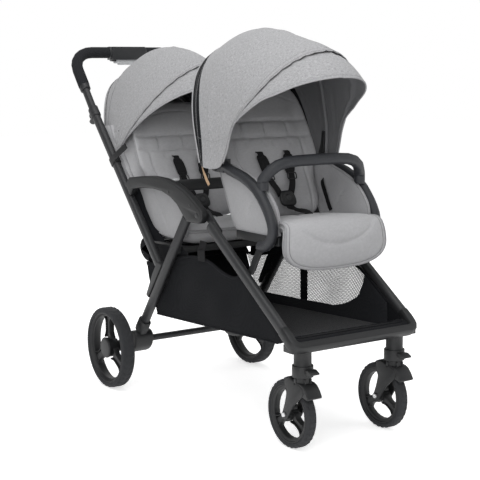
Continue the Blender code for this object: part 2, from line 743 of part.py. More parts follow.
def handle():
    """The U of the handle, its foam grips, the middle housing and the lever that frees the fold."""
    d = unit(PUSH_FOOT, PUSH_JOINT)
    right = handle_path(0.0)
    left = [Vector((-p.x, p.y, p.z)) for p in reversed(right[:-1])]
    lift = Vector((0.0, d[0], d[1])) * (0.006 + GAP + 0.0010)
    right[0] = right[0] + lift
    left[-1] = left[-1] + lift
    tube = sweep("handle_tube", right + left, oval(2 * HANDLE_TUBE_R, 2 * HANDLE_TUBE_R, 10, 2.0))
    place("handle_tube", tube, "frame_black")
    share = (FOAM_START_Z - PUSH_JOINT[1]) / (HANDLE_TOP[1] - PUSH_JOINT[1])
    foam = handle_path(share)
    foam[-1] = Vector((-HANDLE_HOUSING_HALF - GAP, *HANDLE_TOP))
    bore = HANDLE_TUBE_R + GAP + 0.0006
    for word, side in SIDES.items():
        path = [Vector((-side * p.x, p.y, p.z)) for p in foam]
        name = f"handle_foam_{word}"
        skin, hollow = oval(2 * FOAM_R, 2 * FOAM_R, 14, 2.0), oval(2 * bore, 2 * bore, 14, 2.0)
        place(name, sleeve(name, path, skin, hollow), "foam_black")
    y, z = HANDLE_TOP
    half = HANDLE_HOUSING_HALF
    shell = block("shell", (-half, y - 0.021, z - 0.024), (half, y + 0.021, z + 0.0195))
    slot = block("slot", (-half + 0.018, y - 0.014, z - 0.030), (half - 0.010, y + 0.014, z - 0.0145))
    hole = pin("hole", -half - 0.01, half + 0.01, HANDLE_TOP, bore, 10)
    place("handle_housing", combine("handle_housing", [shell], [hole, slot]), "plastic_black")
    lever_low = z - 0.036
    mesh = block(
        "fold_lever",
        (-half + 0.0185, y - 0.0133, lever_low),
        (half - 0.0105, y + 0.0133, z - 0.0145 - LEVER_TRAVEL - 2 * GAP),
    )
    place("fold_lever", mesh, "lever_grey", (0.0, y, lever_low))


def back_frame(seat):
    """Directions of a seat back: along it, and out of its front."""
    d = unit(seat["crease"], seat["top"])
    return d, (-d[1], d[0])


def on_back(seat, x, s, reach):
    """The point at x that lies s up the back from the crease and reach out of its middle plane."""
    d, out = back_frame(seat)
    y, z = seat["crease"]
    return Vector((x, y + d[0] * s + out[0] * reach, z + d[1] * s + out[1] * reach))


def seat_back(name, seat):
    """The padded back: crowned towards its middle, drawn in at its edges, with sewn channels."""
    length = math.dist(seat["crease"], seat["top"])
    low = seat["half"] - SEAT_WALL - 0.006
    high = seat["back_half"]
    across, up = 16, 20
    body = Body()
    front, rear = [], []
    for j in range(up + 1):
        v = j / up
        s = v * length
        spread = min(1.0, max(0.0, (s - BACK_SPREAD_S) / 0.05))
        width = low + (high - low) * spread * spread * (3 - 2 * spread)
        width *= 1 - 0.16 * max(0.0, (v - 0.50) / 0.50) ** 2
        row_front, row_rear = [], []
        for i in range(across + 1):
            u = -1 + 2 * i / across
            edge = (1 - abs(u) ** 6) * (1 - abs(2 * v - 1) ** 10)
            crown = 0.010 * (1 - u * u) * (1 - (2 * v - 1) ** 2)
            depth = SEAT_BACK_T * 0.45 + (SEAT_BACK_T * 0.25 + crown) * edge
            for groove in BACK_CHANNELS_UP:
                depth -= 0.006 * edge * math.exp(-(((v - groove) / 0.022) ** 2))
            if v > 0.42:
                for groove in BACK_CHANNELS_ACROSS:
                    depth -= 0.005 * edge * math.exp(-(((abs(u) - groove) / 0.06) ** 2))
            wing = 0.026 * max(0.0, (abs(u) - 0.72) / 0.28) ** 2 * max(0.0, min(1.0, (v - 0.25) / 0.15))
            row_front.append(on_back(seat, width * u, s, depth + wing))
            row_rear.append(on_back(seat, width * u, s, -0.012))
        front.append(row_front)
        rear.append(row_rear)
    close_pad(body, front, rear)
    hinge = seat_hinge(seat)
    reach = seat["half"] - SEAT_WALL - GAP
    rod = pin("rod", -reach, reach, hinge, SEAT_PIN_R, 10)
    place(name, combine(name, [body.mesh(name), rod]), "pad_grey", (0.0, *hinge))


def seat_hinge(seat):
    """Where the recline turns: just above the crease, inside the back."""
    return tuple(on_back(seat, 0.0, SEAT_HINGE_S, 0.0))[1:]


def close_pad(body, front, rear):
    """Joins two grids of points, front and rear, into one closed solid with plain rear faces."""
    rows, columns = len(front), len(front[0])
    face_up = [body.ring(row) for row in front]
    rim_points = [(j, i) for j, i in rim_of(rows, columns)]
    low = {key: body.bm.verts.new(rear[key[0]][key[1]]) for key in rim_points}
    for j in range(rows - 1):
        for i in range(columns - 1):
            body.bm.faces.new((face_up[j][i], face_up[j][i + 1], face_up[j + 1][i + 1], face_up[j + 1][i]))
    for a, b in zip(rim_points, rim_points[1:] + rim_points[:1]):
        body.bm.faces.new((face_up[a[0]][a[1]], low[a], low[b], face_up[b[0]][b[1]]))
    body.bm.faces.new([low[key] for key in rim_points])


def rim_of(rows, columns):
    keys = [(0, i) for i in range(columns)]
    keys += [(j, columns - 1) for j in range(1, rows)]
    keys += [(rows - 1, i) for i in range(columns - 2, -1, -1)]
    keys += [(j, 0) for j in range(rows - 2, 0, -1)]
    return keys


def base_top(seat, u, share):
    """Height of a seat base's top: u from -1 to 1 across, share from the crease to the front edge."""
    settle = 0.008 * max(0.0, 1 - share / 0.12)
    crown = 0.007 * (1 - u * u) * math.sin(math.pi * min(1.0, max(0.0, share)))
    drop = 0.010 * max(0.0, (share - 0.88) / 0.12) ** 2
    return seat["base_high"] - settle + crown + seat["rise"] * share - drop


def seat_bucket(name, seat):
    """The seat's base cushion, round at its front corners, with its two fabric sides."""
    crease = seat["crease"]
    across, deep = 12, 10
    inner = seat["half"] - SEAT_WALL + 0.0005
    body = Body()
    top, under = [], []
    for j in range(deep + 1):
        share = j / deep
        corner = max(0.0, (share - 0.84) / 0.16)
        width = inner * (1 - 0.13 * corner * corner)
        row_top, row_under = [], []
        y = crease[0] - 0.004 - seat["depth"] * share
        for i in range(across + 1):
            u = -1 + 2 * i / across
            row_top.append((width * u, y, base_top(seat, u, share)))
            row_under.append((width * u, y, seat["base_low"]))
        top.append(row_top)
        under.append(row_under)
    close_pad(body, top, under)
    outline = [(crease[0] + a, crease[1] + b) for a, b in seat["wall"]]
    meshes = [body.mesh(name)]
    for side in SIDES.values():
        meshes.append(plate("wall", outline, side * (seat["half"] - SEAT_WALL), side * seat["half"], 0.002))
    place(name, combine(name, meshes), "pad_grey")


def seat_frame(name, seat, lugs, reach):
    """Two rails and two cross bars under a seat, with a lug out to each side frame."""
    crease = seat["crease"]
    top = seat["base_low"] - GAP
    low = top - RAIL_H
    back, front = crease[0] - 0.004, crease[0] - seat["depth"] + 0.020
    outer = seat["half"] + 0.0015
    inner = outer - RAIL_W
    meshes = []
    for side in SIDES.values():
        x0, x1 = sorted((side * inner, side * outer))
        meshes.append(block("rail", (x0, front, low), (x1, back, top)))
        for y0, y1, z0 in lugs:
            x0, x1 = sorted((side * (outer - 0.010), side * reach))
            meshes.append(block("lug", (x0, y0, z0), (x1, y1, top - 0.001)))
    span = inner + 0.001
    for y in (back - 0.022, front + 0.022):
        meshes.append(block("cross", (-span, y - 0.009, low + 0.002), (span, y + 0.009, top - 0.002)))
    place(name, combine(name, meshes), "plastic_black")


def seat_side_arms():
    """The curved bars beside the front seat, from the canopy's bracket down to the seat frame."""
    points = [
        (-0.524, 0.728), (-0.560, 0.712), (-0.625, 0.697), (-0.686, 0.669), (-0.722, 0.636),
        (-0.747, 0.603), (-0.760, 0.572), (-0.752, 0.542), (-0.728, 0.523), (-0.7005, 0.5195),
    ]
    inner = SIDE_ARM_HALF - SIDE_ARM_R
    for word, side in SIDES.items():
        x = side * SIDE_ARM_HALF
        name = f"front_arm_{word}"
        path = smooth([(x, *p) for p in points], 2)
        path[-2].z = path[-1].z
        bar = sweep("bar", path, oval(2 * SIDE_ARM_R, 2 * SIDE_ARM_R, 10, 2.0))
        a, b, c = BUMPER_SOCKET
        socket = post("socket", side * a, b, c - 0.022, c, BUMPER_R, 16)
        plate_end = [
            (-0.540, 0.704), (-0.498, 0.705), (-0.485, 0.716), (-0.484, 0.728), (-0.494, 0.738),
            (-0.540, 0.741),
        ]
        bracket = plate("bracket", plate_end, side * inner, side * FRONT_EYE_X, 0.0)
        stub_ends = side * (FRONT_EYE_X - 0.004), side * (FRONT_EYE_X + 0.0105)
        stub = pin("stub", *stub_ends, FRONT_CANOPY["pivot"], EYE_PIN_R, 12)
        place(name, combine(name, [bar, socket, bracket, stub]), "leatherette_black")


def smooth(points, steps):
    """A Catmull-Rom curve through the points."""
    points = [Vector(p) for p in points]
    ends = [2 * points[0] - points[1]] + points + [2 * points[-1] - points[-2]]
    path = []
    for a, b, c, d in zip(ends, ends[1:], ends[2:], ends[3:]):
        for k in range(steps):
            t = k / steps
            path.append(0.5 * (
                2 * b + (c - a) * t + (2 * a - 5 * b + 4 * c - d) * t * t + (3 * b - a - 3 * c + d) * t ** 3
            ))
    return path + [points[-1]]


def bumper_bar():
    """The padded bar across the front seat; it swings out on the right arm's socket."""
    end = (BUMPER_SOCKET[0], BUMPER_SOCKET[1], BUMPER_SOCKET[2] + GAP)
    points = [
        (-end[0], end[1], end[2]), (-end[0], end[1], end[2] + 0.005), (-0.157, -0.706, end[2] + 0.015),
        (-0.146, -0.715, 0.719), (-0.128, -0.721, 0.732), (-0.102, -0.7245, 0.739), (-0.065, -0.7255, 0.7415),
        (0.0, -0.726, 0.742),
    ]
    half = [Vector(p) for p in points]
    path = half + [Vector((-p.x, p.y, p.z)) for p in reversed(half[:-1])]
    mesh = sweep("bumper_bar", path, oval(2 * BUMPER_R, 2 * BUMPER_R, 12, 2.0), across=(0.0, 1.0, 0.0))
    place("bumper_bar", mesh, "leatherette_black", (-end[0], end[1], end[2]))


def calf_rest():
    """The padded flap under the front seat's edge, round at its corners, with one sewn arc."""
    y = FRONT_SEAT["crease"][0] - 0.004 - FRONT_SEAT["depth"] - CALF_T / 2 + GAP
    z = FRONT_SEAT["base_high"] + FRONT_SEAT["rise"] + 0.002
    lean = 0.010 / CALF_LENGTH
    across, down = 14, 12
    body = Body()
    front, rear = [], []
    for j in range(down + 1):
        v = j / down
        low_corner = max(0.0, (v - 0.62) / 0.38)
        high_corner = max(0.0, (0.34 - v) / 0.34)
        width = CALF_HALF * math.sqrt(1 - 0.42 * low_corner ** 2.6 - 0.34 * high_corner ** 2.2)
        row_front, row_rear = [], []
        for i in range(across + 1):
            u = -1 + 2 * i / across
            edge = (1 - abs(u) ** 8) * (1 - abs(2 * v - 1) ** 8)
            arc = math.exp(-(((v - 0.40 + 0.24 * u * u) / 0.05) ** 2))
            depth = CALF_T * 0.28 + CALF_T * 0.34 * edge + 0.006 * (1 - u * u) * math.sin(math.pi * v)
            depth -= 0.003 * arc * edge
            s = CALF_LENGTH * (v - 0.05 * u * u * (2 * v - 1))
            row_front.append((width * u, y - depth - lean * s, z - s))
            row_rear.append((width * u, y + CALF_T / 2 - lean * s, z - s))
        front.append(row_front)
        rear.append(row_rear)
    close_pad(body, front, rear)
    place("calf_rest", body.mesh("calf_rest"), "pad_grey", (0.0, y, z))


def flat_strap(name, points, width, thickness=STRAP_T):
    """Webbing whose width lies along X."""
    a, b = width / 2, thickness / 2
    return sweep(name, points, [(-a, -b), (a, -b), (a, b), (-a, b)])


def harness(word, seat):
    """Shoulder pads and straps on the back, the buckle with its crotch strap, and the buckle's button."""
    crease = seat["crease"]
    clear = SEAT_BACK_T * 0.70 + 0.0092
    for side_word, side in SIDES.items():
        name = f"{word}_harness_{side_word}"
        upper = on_back(seat, side * 0.044, 0.203, clear + 0.005)
        lower = on_back(seat, side * 0.040, 0.122, clear + 0.005)
        pad = flat_strap("pad", [upper, lower], 0.034, 0.008)
        strap = flat_strap("strap", [
            on_back(seat, side * 0.041, 0.132, clear + 0.005),
            on_back(seat, side * 0.032, 0.096, clear + 0.006),
            on_back(seat, side * 0.022, 0.0655, clear + 0.006),
        ], 0.020)
        place(name, combine(name, [pad, strap]), "webbing_black", (0.0, *seat_hinge(seat)))
    middle = clear + 0.011
    case_ends = [on_back(seat, 0.0, 0.018, middle), on_back(seat, 0.0, 0.063, middle)]
    case = sweep("case", case_ends, oval(0.052, 0.018, 12, 4.0))
    strap = []
    for reach, lift in ((0.124, 0.0), (0.098, 0.0006), (0.074, 0.0020)):
        share = (reach - 0.004) / seat["depth"]
        strap.append((0.0, crease[0] - reach, base_top(seat, 0.0, share) + STRAP_T / 2 + 0.0006 + lift))
    strap += [on_back(seat, 0.0, 0.014, middle + 0.003), on_back(seat, 0.0, 0.030, middle)]
    crotch = flat_strap("crotch", strap, 0.024)
    face, centre_s = middle + 0.009, 0.041
    hole_ends = [on_back(seat, 0.0, centre_s, face - 0.006), on_back(seat, 0.0, centre_s, face + 0.004)]
    hole = sweep("hole", hole_ends, oval(0.0188, 0.0188, 12, 2.0))
    place(f"{word}_buckle", combine(f"{word}_buckle", [case, crotch], [hole]), "plastic_black")
    name = f"{word}_buckle_button"
    low, high = on_back(seat, 0.0, centre_s, face - 0.0034), on_back(seat, 0.0, centre_s, face + 0.0012)
    button = sweep(name, [low, high], oval(0.018, 0.018, 12, 2.0))
    place(name, button, "plastic_black", tuple(on_back(seat, 0.0, centre_s, face)))


def canopy_radius(shape, degrees):
    """The dome's height over the pivots, by the angle up from the rear."""
    knots = shape["radii"]
    for (a, low), (b, high) in zip(knots, knots[1:]):
        if degrees <= b:
            t = min(1.0, max(0.0, (degrees - a) / (b - a)))
            return low + (high - low) * t * t * (3 - 2 * t)
    return knots[-1][1]


def canopy_panel(name, shape, start, end, rows):
    """A shell of the canopy between two edges, each (angle at the sides, at the crown, power)."""
    columns = 18
    root = CANOPY_ROOT
    pivot = shape["pivot"]
    grids = []
    for inset in (0.0, CANOPY_T):
        grid = []
        for j in range(rows + 1):
            row = []
            for i in range(columns + 1):
                t = math.pi * i / columns
                lift = abs(math.sin(t))
                edges = [a + (b - a) * lift ** power for a, b, power in (start, end)]
                degrees = edges[0] + (edges[1] - edges[0]) * j / rows
                turn = math.radians(degrees)
                share = abs(math.cos(t)) ** (2 / shape["across"])
                x = (CANOPY_HALF - inset) * math.copysign(share, math.cos(t))
                r = root + (canopy_radius(shape, degrees) - root - inset) * lift ** (2 / shape["upward"])
                row.append((x, pivot[0] + r * math.cos(turn), pivot[1] + r * math.sin(turn)))
            grid.append(row)
        grids.append(grid)
    body = Body()
    outer = [body.ring(row) for row in grids[0]]
    inner = [body.ring(row) for row in grids[1]]
    for grid, flip in ((outer, False), (inner, True)):
        for j in range(rows):
            for i in range(columns):
                quad = [grid[j][i], grid[j][i + 1], grid[j + 1][i + 1], grid[j + 1][i]]
                body.bm.faces.new(quad[::-1] if flip else quad)
    keys = rim_of(rows + 1, columns + 1)
    for a, b in zip(keys, keys[1:] + keys[:1]):
        body.bm.faces.new((outer[a[0]][a[1]], inner[a[0]][a[1]], inner[b[0]][b[1]], outer[b[0]][b[1]]))
    return body.mesh(name)


def canopy_eyes(pivot, degrees, x0, x1):
    """On each side, the eye that turns on the canopy's pin and its tongue up to the panel."""
    turn = math.radians(degrees)
    d = (math.cos(turn), math.sin(turn))
    meshes, holes = [], []
    for side in SIDES.values():
        strip = []
        for k in range(9):
            a = turn + math.pi / 2 + math.pi * k / 8
            strip.append((pivot[0] + EYE_R * math.cos(a), pivot[1] + EYE_R * math.sin(a)))
        reach = CANOPY_ROOT - 0.0015
        for sign in (-1, 1):
            across = sign * 0.006
            strip.append((pivot[0] + d[0] * reach - across * d[1], pivot[1] + d[1] * reach + across * d[0]))
        meshes.append(plate("eye", strip, side * x0, side * x1))
        rib = []
        near, far = reach - 0.010, CANOPY_ROOT + 0.010
        for r, half in ((near, -0.0012), (near, 0.0012), (far, 0.0012), (far, -0.0012)):
            rib.append((pivot[0] + d[0] * r + half * d[1], pivot[1] + d[1] * r - half * d[0]))
        low = min(x0, CANOPY_HALF - CANOPY_T) + 0.0002
        high = max(x1, CANOPY_HALF - 0.0004) - 0.0002
        meshes.append(plate("rib", rib[::-1], side * low, side * high))
        bore = EYE_PIN_R + BORE_CLEARANCE
        holes.append(pin("hole", side * (x0 - 0.005), side * (x1 + 0.005), pivot, bore, 12))
    return meshes, holes


def canopy(word, shape, eye_x, outward):
    """The back panel, the main panel and the visor of a canopy, on one pin each side."""
    edges = shape["edges"]
    for k, (part, rows) in enumerate((("back", 4), ("main", 7), ("visor", 3))):
        name = f"{word}_canopy_{part}"
        near = eye_x + outward * (GAP + k * (EYE_T + GAP))
        x0, x1 = sorted((near, near + outward * EYE_T))
        start, end = edges[k], edges[k + 1]
        meshes, holes = canopy_eyes(shape["pivot"], (start[0] + end[0]) / 2, x0, x1)
        slack = CANOPY_SEAM if part != "visor" else 0.0
        panel = canopy_panel(name, shape, start, (end[0] - slack, end[1] - slack, end[2]), rows)
        place(name, combine(name, [panel] + meshes, holes), "melange_grey", (0.0, *shape["pivot"]))


def basket():
    """The tub under the seats with its tabs, the front apron on the bar and the pocket behind."""
    t = BASKET_T
    wall = [
        (-0.163, 0.249), (-0.099, 0.400), (-0.200, 0.402), (-0.283, 0.437), (-0.425, 0.457),
        (-0.530, 0.429), (-0.629, 0.406), (BASKET_FRONT_Y, 0.300), (BASKET_FRONT_Y, 0.278),
    ]
    floor = [(-0.163, 0.249), (BASKET_FRONT_Y, 0.278), (BASKET_FRONT_Y, 0.278 + t), (-0.163, 0.249 + t)]
    rear = [(-0.163, 0.249), (-0.099, 0.400), (-0.099 - t, 0.400), (-0.163 - t, 0.249)]
    half = BASKET_HALF
    inner = half - 0.001
    meshes = [plate("floor", floor, -inner, inner), plate("rear", rear, -inner, inner)]
    leg_reach = FRAME_HALF - TUBE_W / 2 - GAP
    for side in SIDES.values():
        meshes.append(plate("wall", wall, side * (half - t), side * half))
        low_x, high_x = sorted((side * (half - 0.002), side * leg_reach))
        meshes.append(block("tab", (low_x, -0.245, 0.360), (high_x, -0.222, 0.374)))
        strap = [(-0.414, 0.440), (-0.448, 0.440), (-0.446, 0.505), (-0.416, 0.505)]
        meshes.append(plate("strap", strap, side * (half - t + 0.0005), side * (half - 0.0005)))
    place("basket", combine("basket", meshes), "basket_black")
    bar_top = FRONT_BAR_Z + FRONT_BAR_H / 2 + GAP + 0.0014
    edge = BASKET_FRONT_Y - GAP
    apron = [
        (edge, 0.278), (edge, 0.278 + t), (-0.842, 0.3005), (-0.866, bar_top + t),
        (FRONT_BAR_Y - 0.004, bar_top + t),
        (FRONT_BAR_Y - 0.004, bar_top), (-0.868, bar_top), (-0.844, 0.2955),
    ]
    place("basket_apron", plate("basket_apron", apron, -half + 0.004, half - 0.004), "basket_black")
    rail_low = REAR_SEAT["base_low"] - GAP - RAIL_H - GAP
    edge = REAR_SEAT["crease"][0] - 0.004
    pocket = [
        (-0.134, 0.4045), (-0.075, 0.4005), (-0.048, 0.412), (-0.034, 0.440), (-0.046, 0.464),
        (-0.070, 0.472), (edge + GAP, 0.474), (edge + GAP, rail_low), (-0.128, rail_low),
        (-0.134, rail_low - 0.006),
    ]
    place("basket_pocket", plate("basket_pocket", pocket, -0.184, 0.184, 0.006), "basket_black")


def rear_bar():
    reach = FRAME_HALF - ARM_W / 2 - GAP
    path = [(-reach, -0.291, 0.650), (reach, -0.291, 0.650)]
    mesh = sweep("rear_bar", path, oval(0.020, 0.034, 12, 3.0), across=(0.0, 1.0, 0.0))
    place("rear_bar", mesh, "plastic_black")


def main():
    clear_scene()
    stroller = bpy.data.objects.new("stroller", None)
    bpy.context.scene.collection.objects.link(stroller)
    stroller.location.y = REAR_AXLE_Y
    rear_wheels()
    rear_housings()
    cross_tube()
    brake_pedal()
    rear_legs()
    rear_arms()
    push_tubes()
    handle()
    front_tubes()
    front_frame()
    swivel_locks()
    casters()
    front_wheels()
    tube_reach = FRONT_TUBE_HALF - TUBE_W / 2 - GAP
    leg_reach = FRAME_HALF - TUBE_W / 2 - GAP
    seat_frame("front_seat_frame", FRONT_SEAT, [(-0.700, -0.652, 0.440)], tube_reach)
    seat_frame("rear_seat_frame", REAR_SEAT, [(-0.300, -0.262, 0.452)], leg_reach)
    for word, seat in (("front", FRONT_SEAT), ("rear", REAR_SEAT)):
        seat_bucket(f"{word}_seat_bucket", seat)
        seat_back(f"{word}_seat_back", seat)
        harness(word, seat)
    seat_side_arms()
    bumper_bar()
    calf_rest()
    rear_bar()
    canopy("front", FRONT_CANOPY, FRONT_EYE_X, 1)
    canopy("rear", REAR_CANOPY, REAR_EYE_X, -1)
    basket()


if __name__ == "__main__":
    main()
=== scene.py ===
"""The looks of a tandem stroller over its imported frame, laid out as an add-on and run as a script."""

import json
import math

import bmesh
import bpy
from mathutils import Matrix, Vector, noise

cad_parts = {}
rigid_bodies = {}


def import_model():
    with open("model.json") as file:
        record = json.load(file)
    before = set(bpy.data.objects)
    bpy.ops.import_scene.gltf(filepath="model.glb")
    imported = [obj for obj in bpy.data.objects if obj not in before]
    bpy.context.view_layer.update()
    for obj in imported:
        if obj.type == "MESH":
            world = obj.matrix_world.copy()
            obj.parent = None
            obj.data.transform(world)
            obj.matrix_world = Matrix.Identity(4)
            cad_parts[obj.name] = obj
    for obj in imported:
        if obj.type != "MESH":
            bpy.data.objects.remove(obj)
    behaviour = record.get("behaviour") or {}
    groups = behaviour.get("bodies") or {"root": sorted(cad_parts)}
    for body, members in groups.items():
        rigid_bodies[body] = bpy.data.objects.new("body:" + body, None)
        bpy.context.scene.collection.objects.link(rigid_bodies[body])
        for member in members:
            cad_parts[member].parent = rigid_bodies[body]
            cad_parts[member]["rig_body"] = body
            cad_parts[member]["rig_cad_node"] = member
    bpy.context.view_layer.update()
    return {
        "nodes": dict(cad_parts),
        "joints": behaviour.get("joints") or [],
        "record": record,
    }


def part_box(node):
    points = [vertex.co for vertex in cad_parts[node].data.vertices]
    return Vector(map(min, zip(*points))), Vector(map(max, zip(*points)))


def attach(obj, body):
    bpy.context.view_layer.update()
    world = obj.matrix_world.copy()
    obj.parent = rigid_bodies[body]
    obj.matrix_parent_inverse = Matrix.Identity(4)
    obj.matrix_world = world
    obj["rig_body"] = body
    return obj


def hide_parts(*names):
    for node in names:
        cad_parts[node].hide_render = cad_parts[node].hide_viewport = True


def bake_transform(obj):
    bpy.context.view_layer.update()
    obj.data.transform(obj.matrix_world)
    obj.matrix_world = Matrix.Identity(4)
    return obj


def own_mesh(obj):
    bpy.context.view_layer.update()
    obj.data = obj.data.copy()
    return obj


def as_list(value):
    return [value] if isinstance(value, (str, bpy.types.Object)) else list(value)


bl_info = {
    "name": "Tandem Stroller",
    "version": (1, 0, 0),
    "blender": (4, 5, 0),
    "location": "View3D > Sidebar > Stroller",
    "description": "Builds the fabric, tubes, wheels and fittings of a tandem stroller",
    "category": "Add Mesh",
}

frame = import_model()
BODY_OF = {
    node: body
    for body, nodes in frame["record"]["behaviour"]["bodies"].items()
    for node in nodes
}
JOINTS = {joint["name"]: joint for joint in frame["joints"]}
# Everything below is measured along Y from the rear axle.
AXLE_Y = JOINTS["rear_wheel_right_spin"]["pos_m"][1]
SIDES = {"right": -1, "left": 1}
# Where the push tubes' and the wheels' middle planes are.
TUBE_X, REAR_WHEEL_X, FRONT_WHEEL_X = 0.205, 0.265, 0.154
REAR_WHEEL, FRONT_WHEEL = (0.0, 0.126), (-0.815, 0.0915)
# The casters' upright axis, and the push tube's joint and its end at the handle.
CASTER_Y = -0.863
TUBE_JOINT, TUBE_TOP = (0.197, 0.860), (0.350, 1.046)
SEATS = {
    "front": {
        "crease": (-0.560, 0.568), "top": (-0.380, 0.943), "half": 0.156, "back_half": 0.1572,
        "depth": 0.224, "low": 0.550, "high": 0.573, "rise": 0.020,
        "seams": [((0.016, 0.160), (0.010, -0.020)), ((-0.086, 0.075), (-0.036, -0.004))],
        "wall": [
            (0.078, 0.140), (0.055, 0.080), (0.024, 0.015), (0.000, -0.014), (-0.030, -0.018),
            (-0.185, -0.018), (-0.196, -0.006), (-0.196, 0.030), (-0.182, 0.060), (-0.150, 0.092),
            (-0.100, 0.120), (-0.030, 0.143), (0.030, 0.156),
        ],
    },
    "rear": {
        "crease": (-0.105, 0.523), "top": (0.078, 0.880), "half": 0.176, "back_half": 0.172,
        "depth": 0.224, "low": 0.473, "high": 0.528, "rise": 0.010,
        "seams": [((0.020, 0.160), (-0.150, -0.040))],
        "wall": [
            (0.076, 0.122), (0.052, 0.080), (0.026, 0.040), (-0.012, 0.000), (-0.050, -0.022),
            (-0.120, -0.030), (-0.205, -0.026), (-0.224, 0.010), (-0.226, 0.060), (-0.205, 0.084),
            (-0.150, 0.108), (-0.080, 0.126), (0.020, 0.136),
        ],
    },
}
CANOPIES = {
    "front": {
        "pivot": (-0.500, 0.722), "across": 1.87, "upward": 2.97, "phase": 0.4, "bows": (61.5, 98.0),
        "radii": [
            (32, 0.376), (52, 0.380), (66, 0.374), (82, 0.377), (100, 0.367), (112, 0.371),
            (122, 0.386), (130, 0.398), (140, 0.409), (152, 0.412),
        ],
        "back": [(0, 54), (0.06, 57.5), (0.2, 59.5), (0.45, 59.5), (0.7, 57.8), (1, 56)],
        "seam": [(0, 64), (0.2, 66), (0.6, 64.5), (1, 62.5)],
        "welt": [(0, 120), (0.1, 118.5), (0.2, 120.5), (0.42, 127.2), (0.7, 129.2), (1, 129.4)],
        "brim": [
            (0, 124), (0.07, 119.5), (0.15, 119.5), (0.2, 121.5), (0.3, 128.5), (0.42, 133.5),
            (0.6, 139.1), (0.8, 142.2), (1, 144.6),
        ],
        "foot": [
            (0, 0.060, 0.004), (0.15, 0.048, -0.0055), (0.35, 0.022, -0.009), (0.6, -0.012, -0.0085),
            (0.82, -0.042, -0.002), (1, -0.062, 0.014),
        ],
        "swell": 0.0065, "patch": 0.085,
    },
    "rear": {
        "pivot": (0.085, 0.716), "across": 1.8, "upward": 1.9, "phase": 2.1, "bows": (65.0, 99.0),
        "radii": [
            (38, 0.366), (52, 0.342), (66, 0.333), (82, 0.337), (100, 0.345), (116, 0.358),
            (128, 0.374), (140, 0.390), (152, 0.406),
        ],
        "back": [(0, 56), (0.3, 54.6), (0.6, 50.8), (0.8, 47.6), (1, 44)],
        "seam": [(0, 66), (1, 64)],
        "welt": [(0, 132.5), (0.5, 132.1), (1, 131)],
        "brim": [(0, 136), (0.15, 135.5), (0.3, 138.0), (0.6, 141.4), (0.8, 143.7), (1, 146.4)],
        "foot": [
            (0, 0.034, 0.012), (0.22, 0.026, -0.002), (0.42, 0.014, -0.009), (0.62, 0.000, -0.010),
            (0.84, -0.018, -0.002), (1, -0.030, 0.014),
        ],
        "swell": 0.0, "patch": 0.110,
    },
}
FOLD_PIVOT = (-0.455, 0.581)
CANOPY_HALF = 0.190
# How far the harness lies in front of a back's middle plane.
HARNESS_LIFT = 0.0415
# The camera's place, its azimuth, elevation and roll in degrees, and its lens in mm.
CAMERA_PLACE = (-1.8678, -3.1828, 0.9670)
CAMERA_TURN = (-33.33, 8.14, -0.5715)
CAMERA_LENS = 86.52


# The sizes and colours that a user would change.


def colour_setting(name, value, description):
    return bpy.props.FloatVectorProperty(
        name=name, description=description, subtype="COLOR", size=3, default=value, min=0, max=1
    )


def length_setting(name, value, description):
    return bpy.props.FloatProperty(
        name=name, description=description, default=value, min=0, soft_max=0.1,
        subtype="DISTANCE", unit="LENGTH", precision=4,
    )


class StrollerColours(bpy.types.PropertyGroup):
    """Base colours of the finishes."""

    canopy: colour_setting("Canopy cloth", (0.405, 0.405, 0.415), "Melange cloth of the hoods")
    lining: colour_setting("Canopy lining", (0.200, 0.202, 0.210), "Plain cloth inside the hoods")
    seat: colour_setting("Seat cloth", (0.455, 0.455, 0.467), "Padded cloth of the seats")
    seat_edge: colour_setting("Seat piping", (0.345, 0.345, 0.356), "Piping round the padding")
    paint: colour_setting("Frame paint", (0.020, 0.0205, 0.0225), "Powder coat on the tubes")
    plastic: colour_setting("Plastic", (0.0115, 0.012, 0.013), "Moulded fittings")
    tyre: colour_setting("Tyre", (0.0270, 0.0280, 0.0310), "Foam tyres")
    foam: colour_setting("Grip foam", (0.0150, 0.0158, 0.0180), "Foam on the handle")
    leather: colour_setting("Leatherette", (0.020, 0.0215, 0.026), "Cover of the bumper bar and arms")
    nylon: colour_setting("Basket cloth", (0.0072, 0.0078, 0.0096), "Nylon of the basket")
    webbing: colour_setting("Webbing", (0.006, 0.006, 0.0068), "Straps of the harness")
    tag: colour_setting("Zip pull", (0.50, 0.34, 0.21), "Tan pull of the zips")
    lever: colour_setting("Fold lever", (0.56, 0.57, 0.58), "Lever under the handle")
    steel: colour_setting("Steel", (0.62, 0.62, 0.63), "Plated axle bolts")


class StrollerSizes(bpy.types.PropertyGroup):
    """Sizes of the trim that the frame doesn't set."""

    cloth: length_setting("Cloth thickness", 0.0016, "Thickness of the hoods' cloth")
    piping: length_setting("Piping radius", 0.0022, "Radius of the cord in a piped edge")
    stitch: length_setting("Stitch pitch", 0.0045, "Distance from one stitch to the next")
    welt: length_setting("Welt step", 0.0050, "Step at the seam between hood and visor")
    tread: length_setting("Tread depth", 0.0022, "Depth of the tyre's tread")


def colours():
    return bpy.context.scene.stroller_colours


def sizes():
    return bpy.context.scene.stroller_sizes


# Selecting, shaping and placing.


def back_frame(seat):
    """Directions of a seat back: along it, and out of its front."""
    d = unit((0.0, *seat["crease"]), (0.0, *seat["top"]))
    return (d.y, d.z), (-d.z, d.y)


def on_back(seat, x, s, reach):
    """The point at x that lies s up the back from the crease and reach out of its middle plane."""
    d, out = back_frame(seat)
    y, z = seat["crease"]
    return Vector((x, y + AXLE_Y + d[0] * s + out[0] * reach, z + d[1] * s + out[1] * reach))


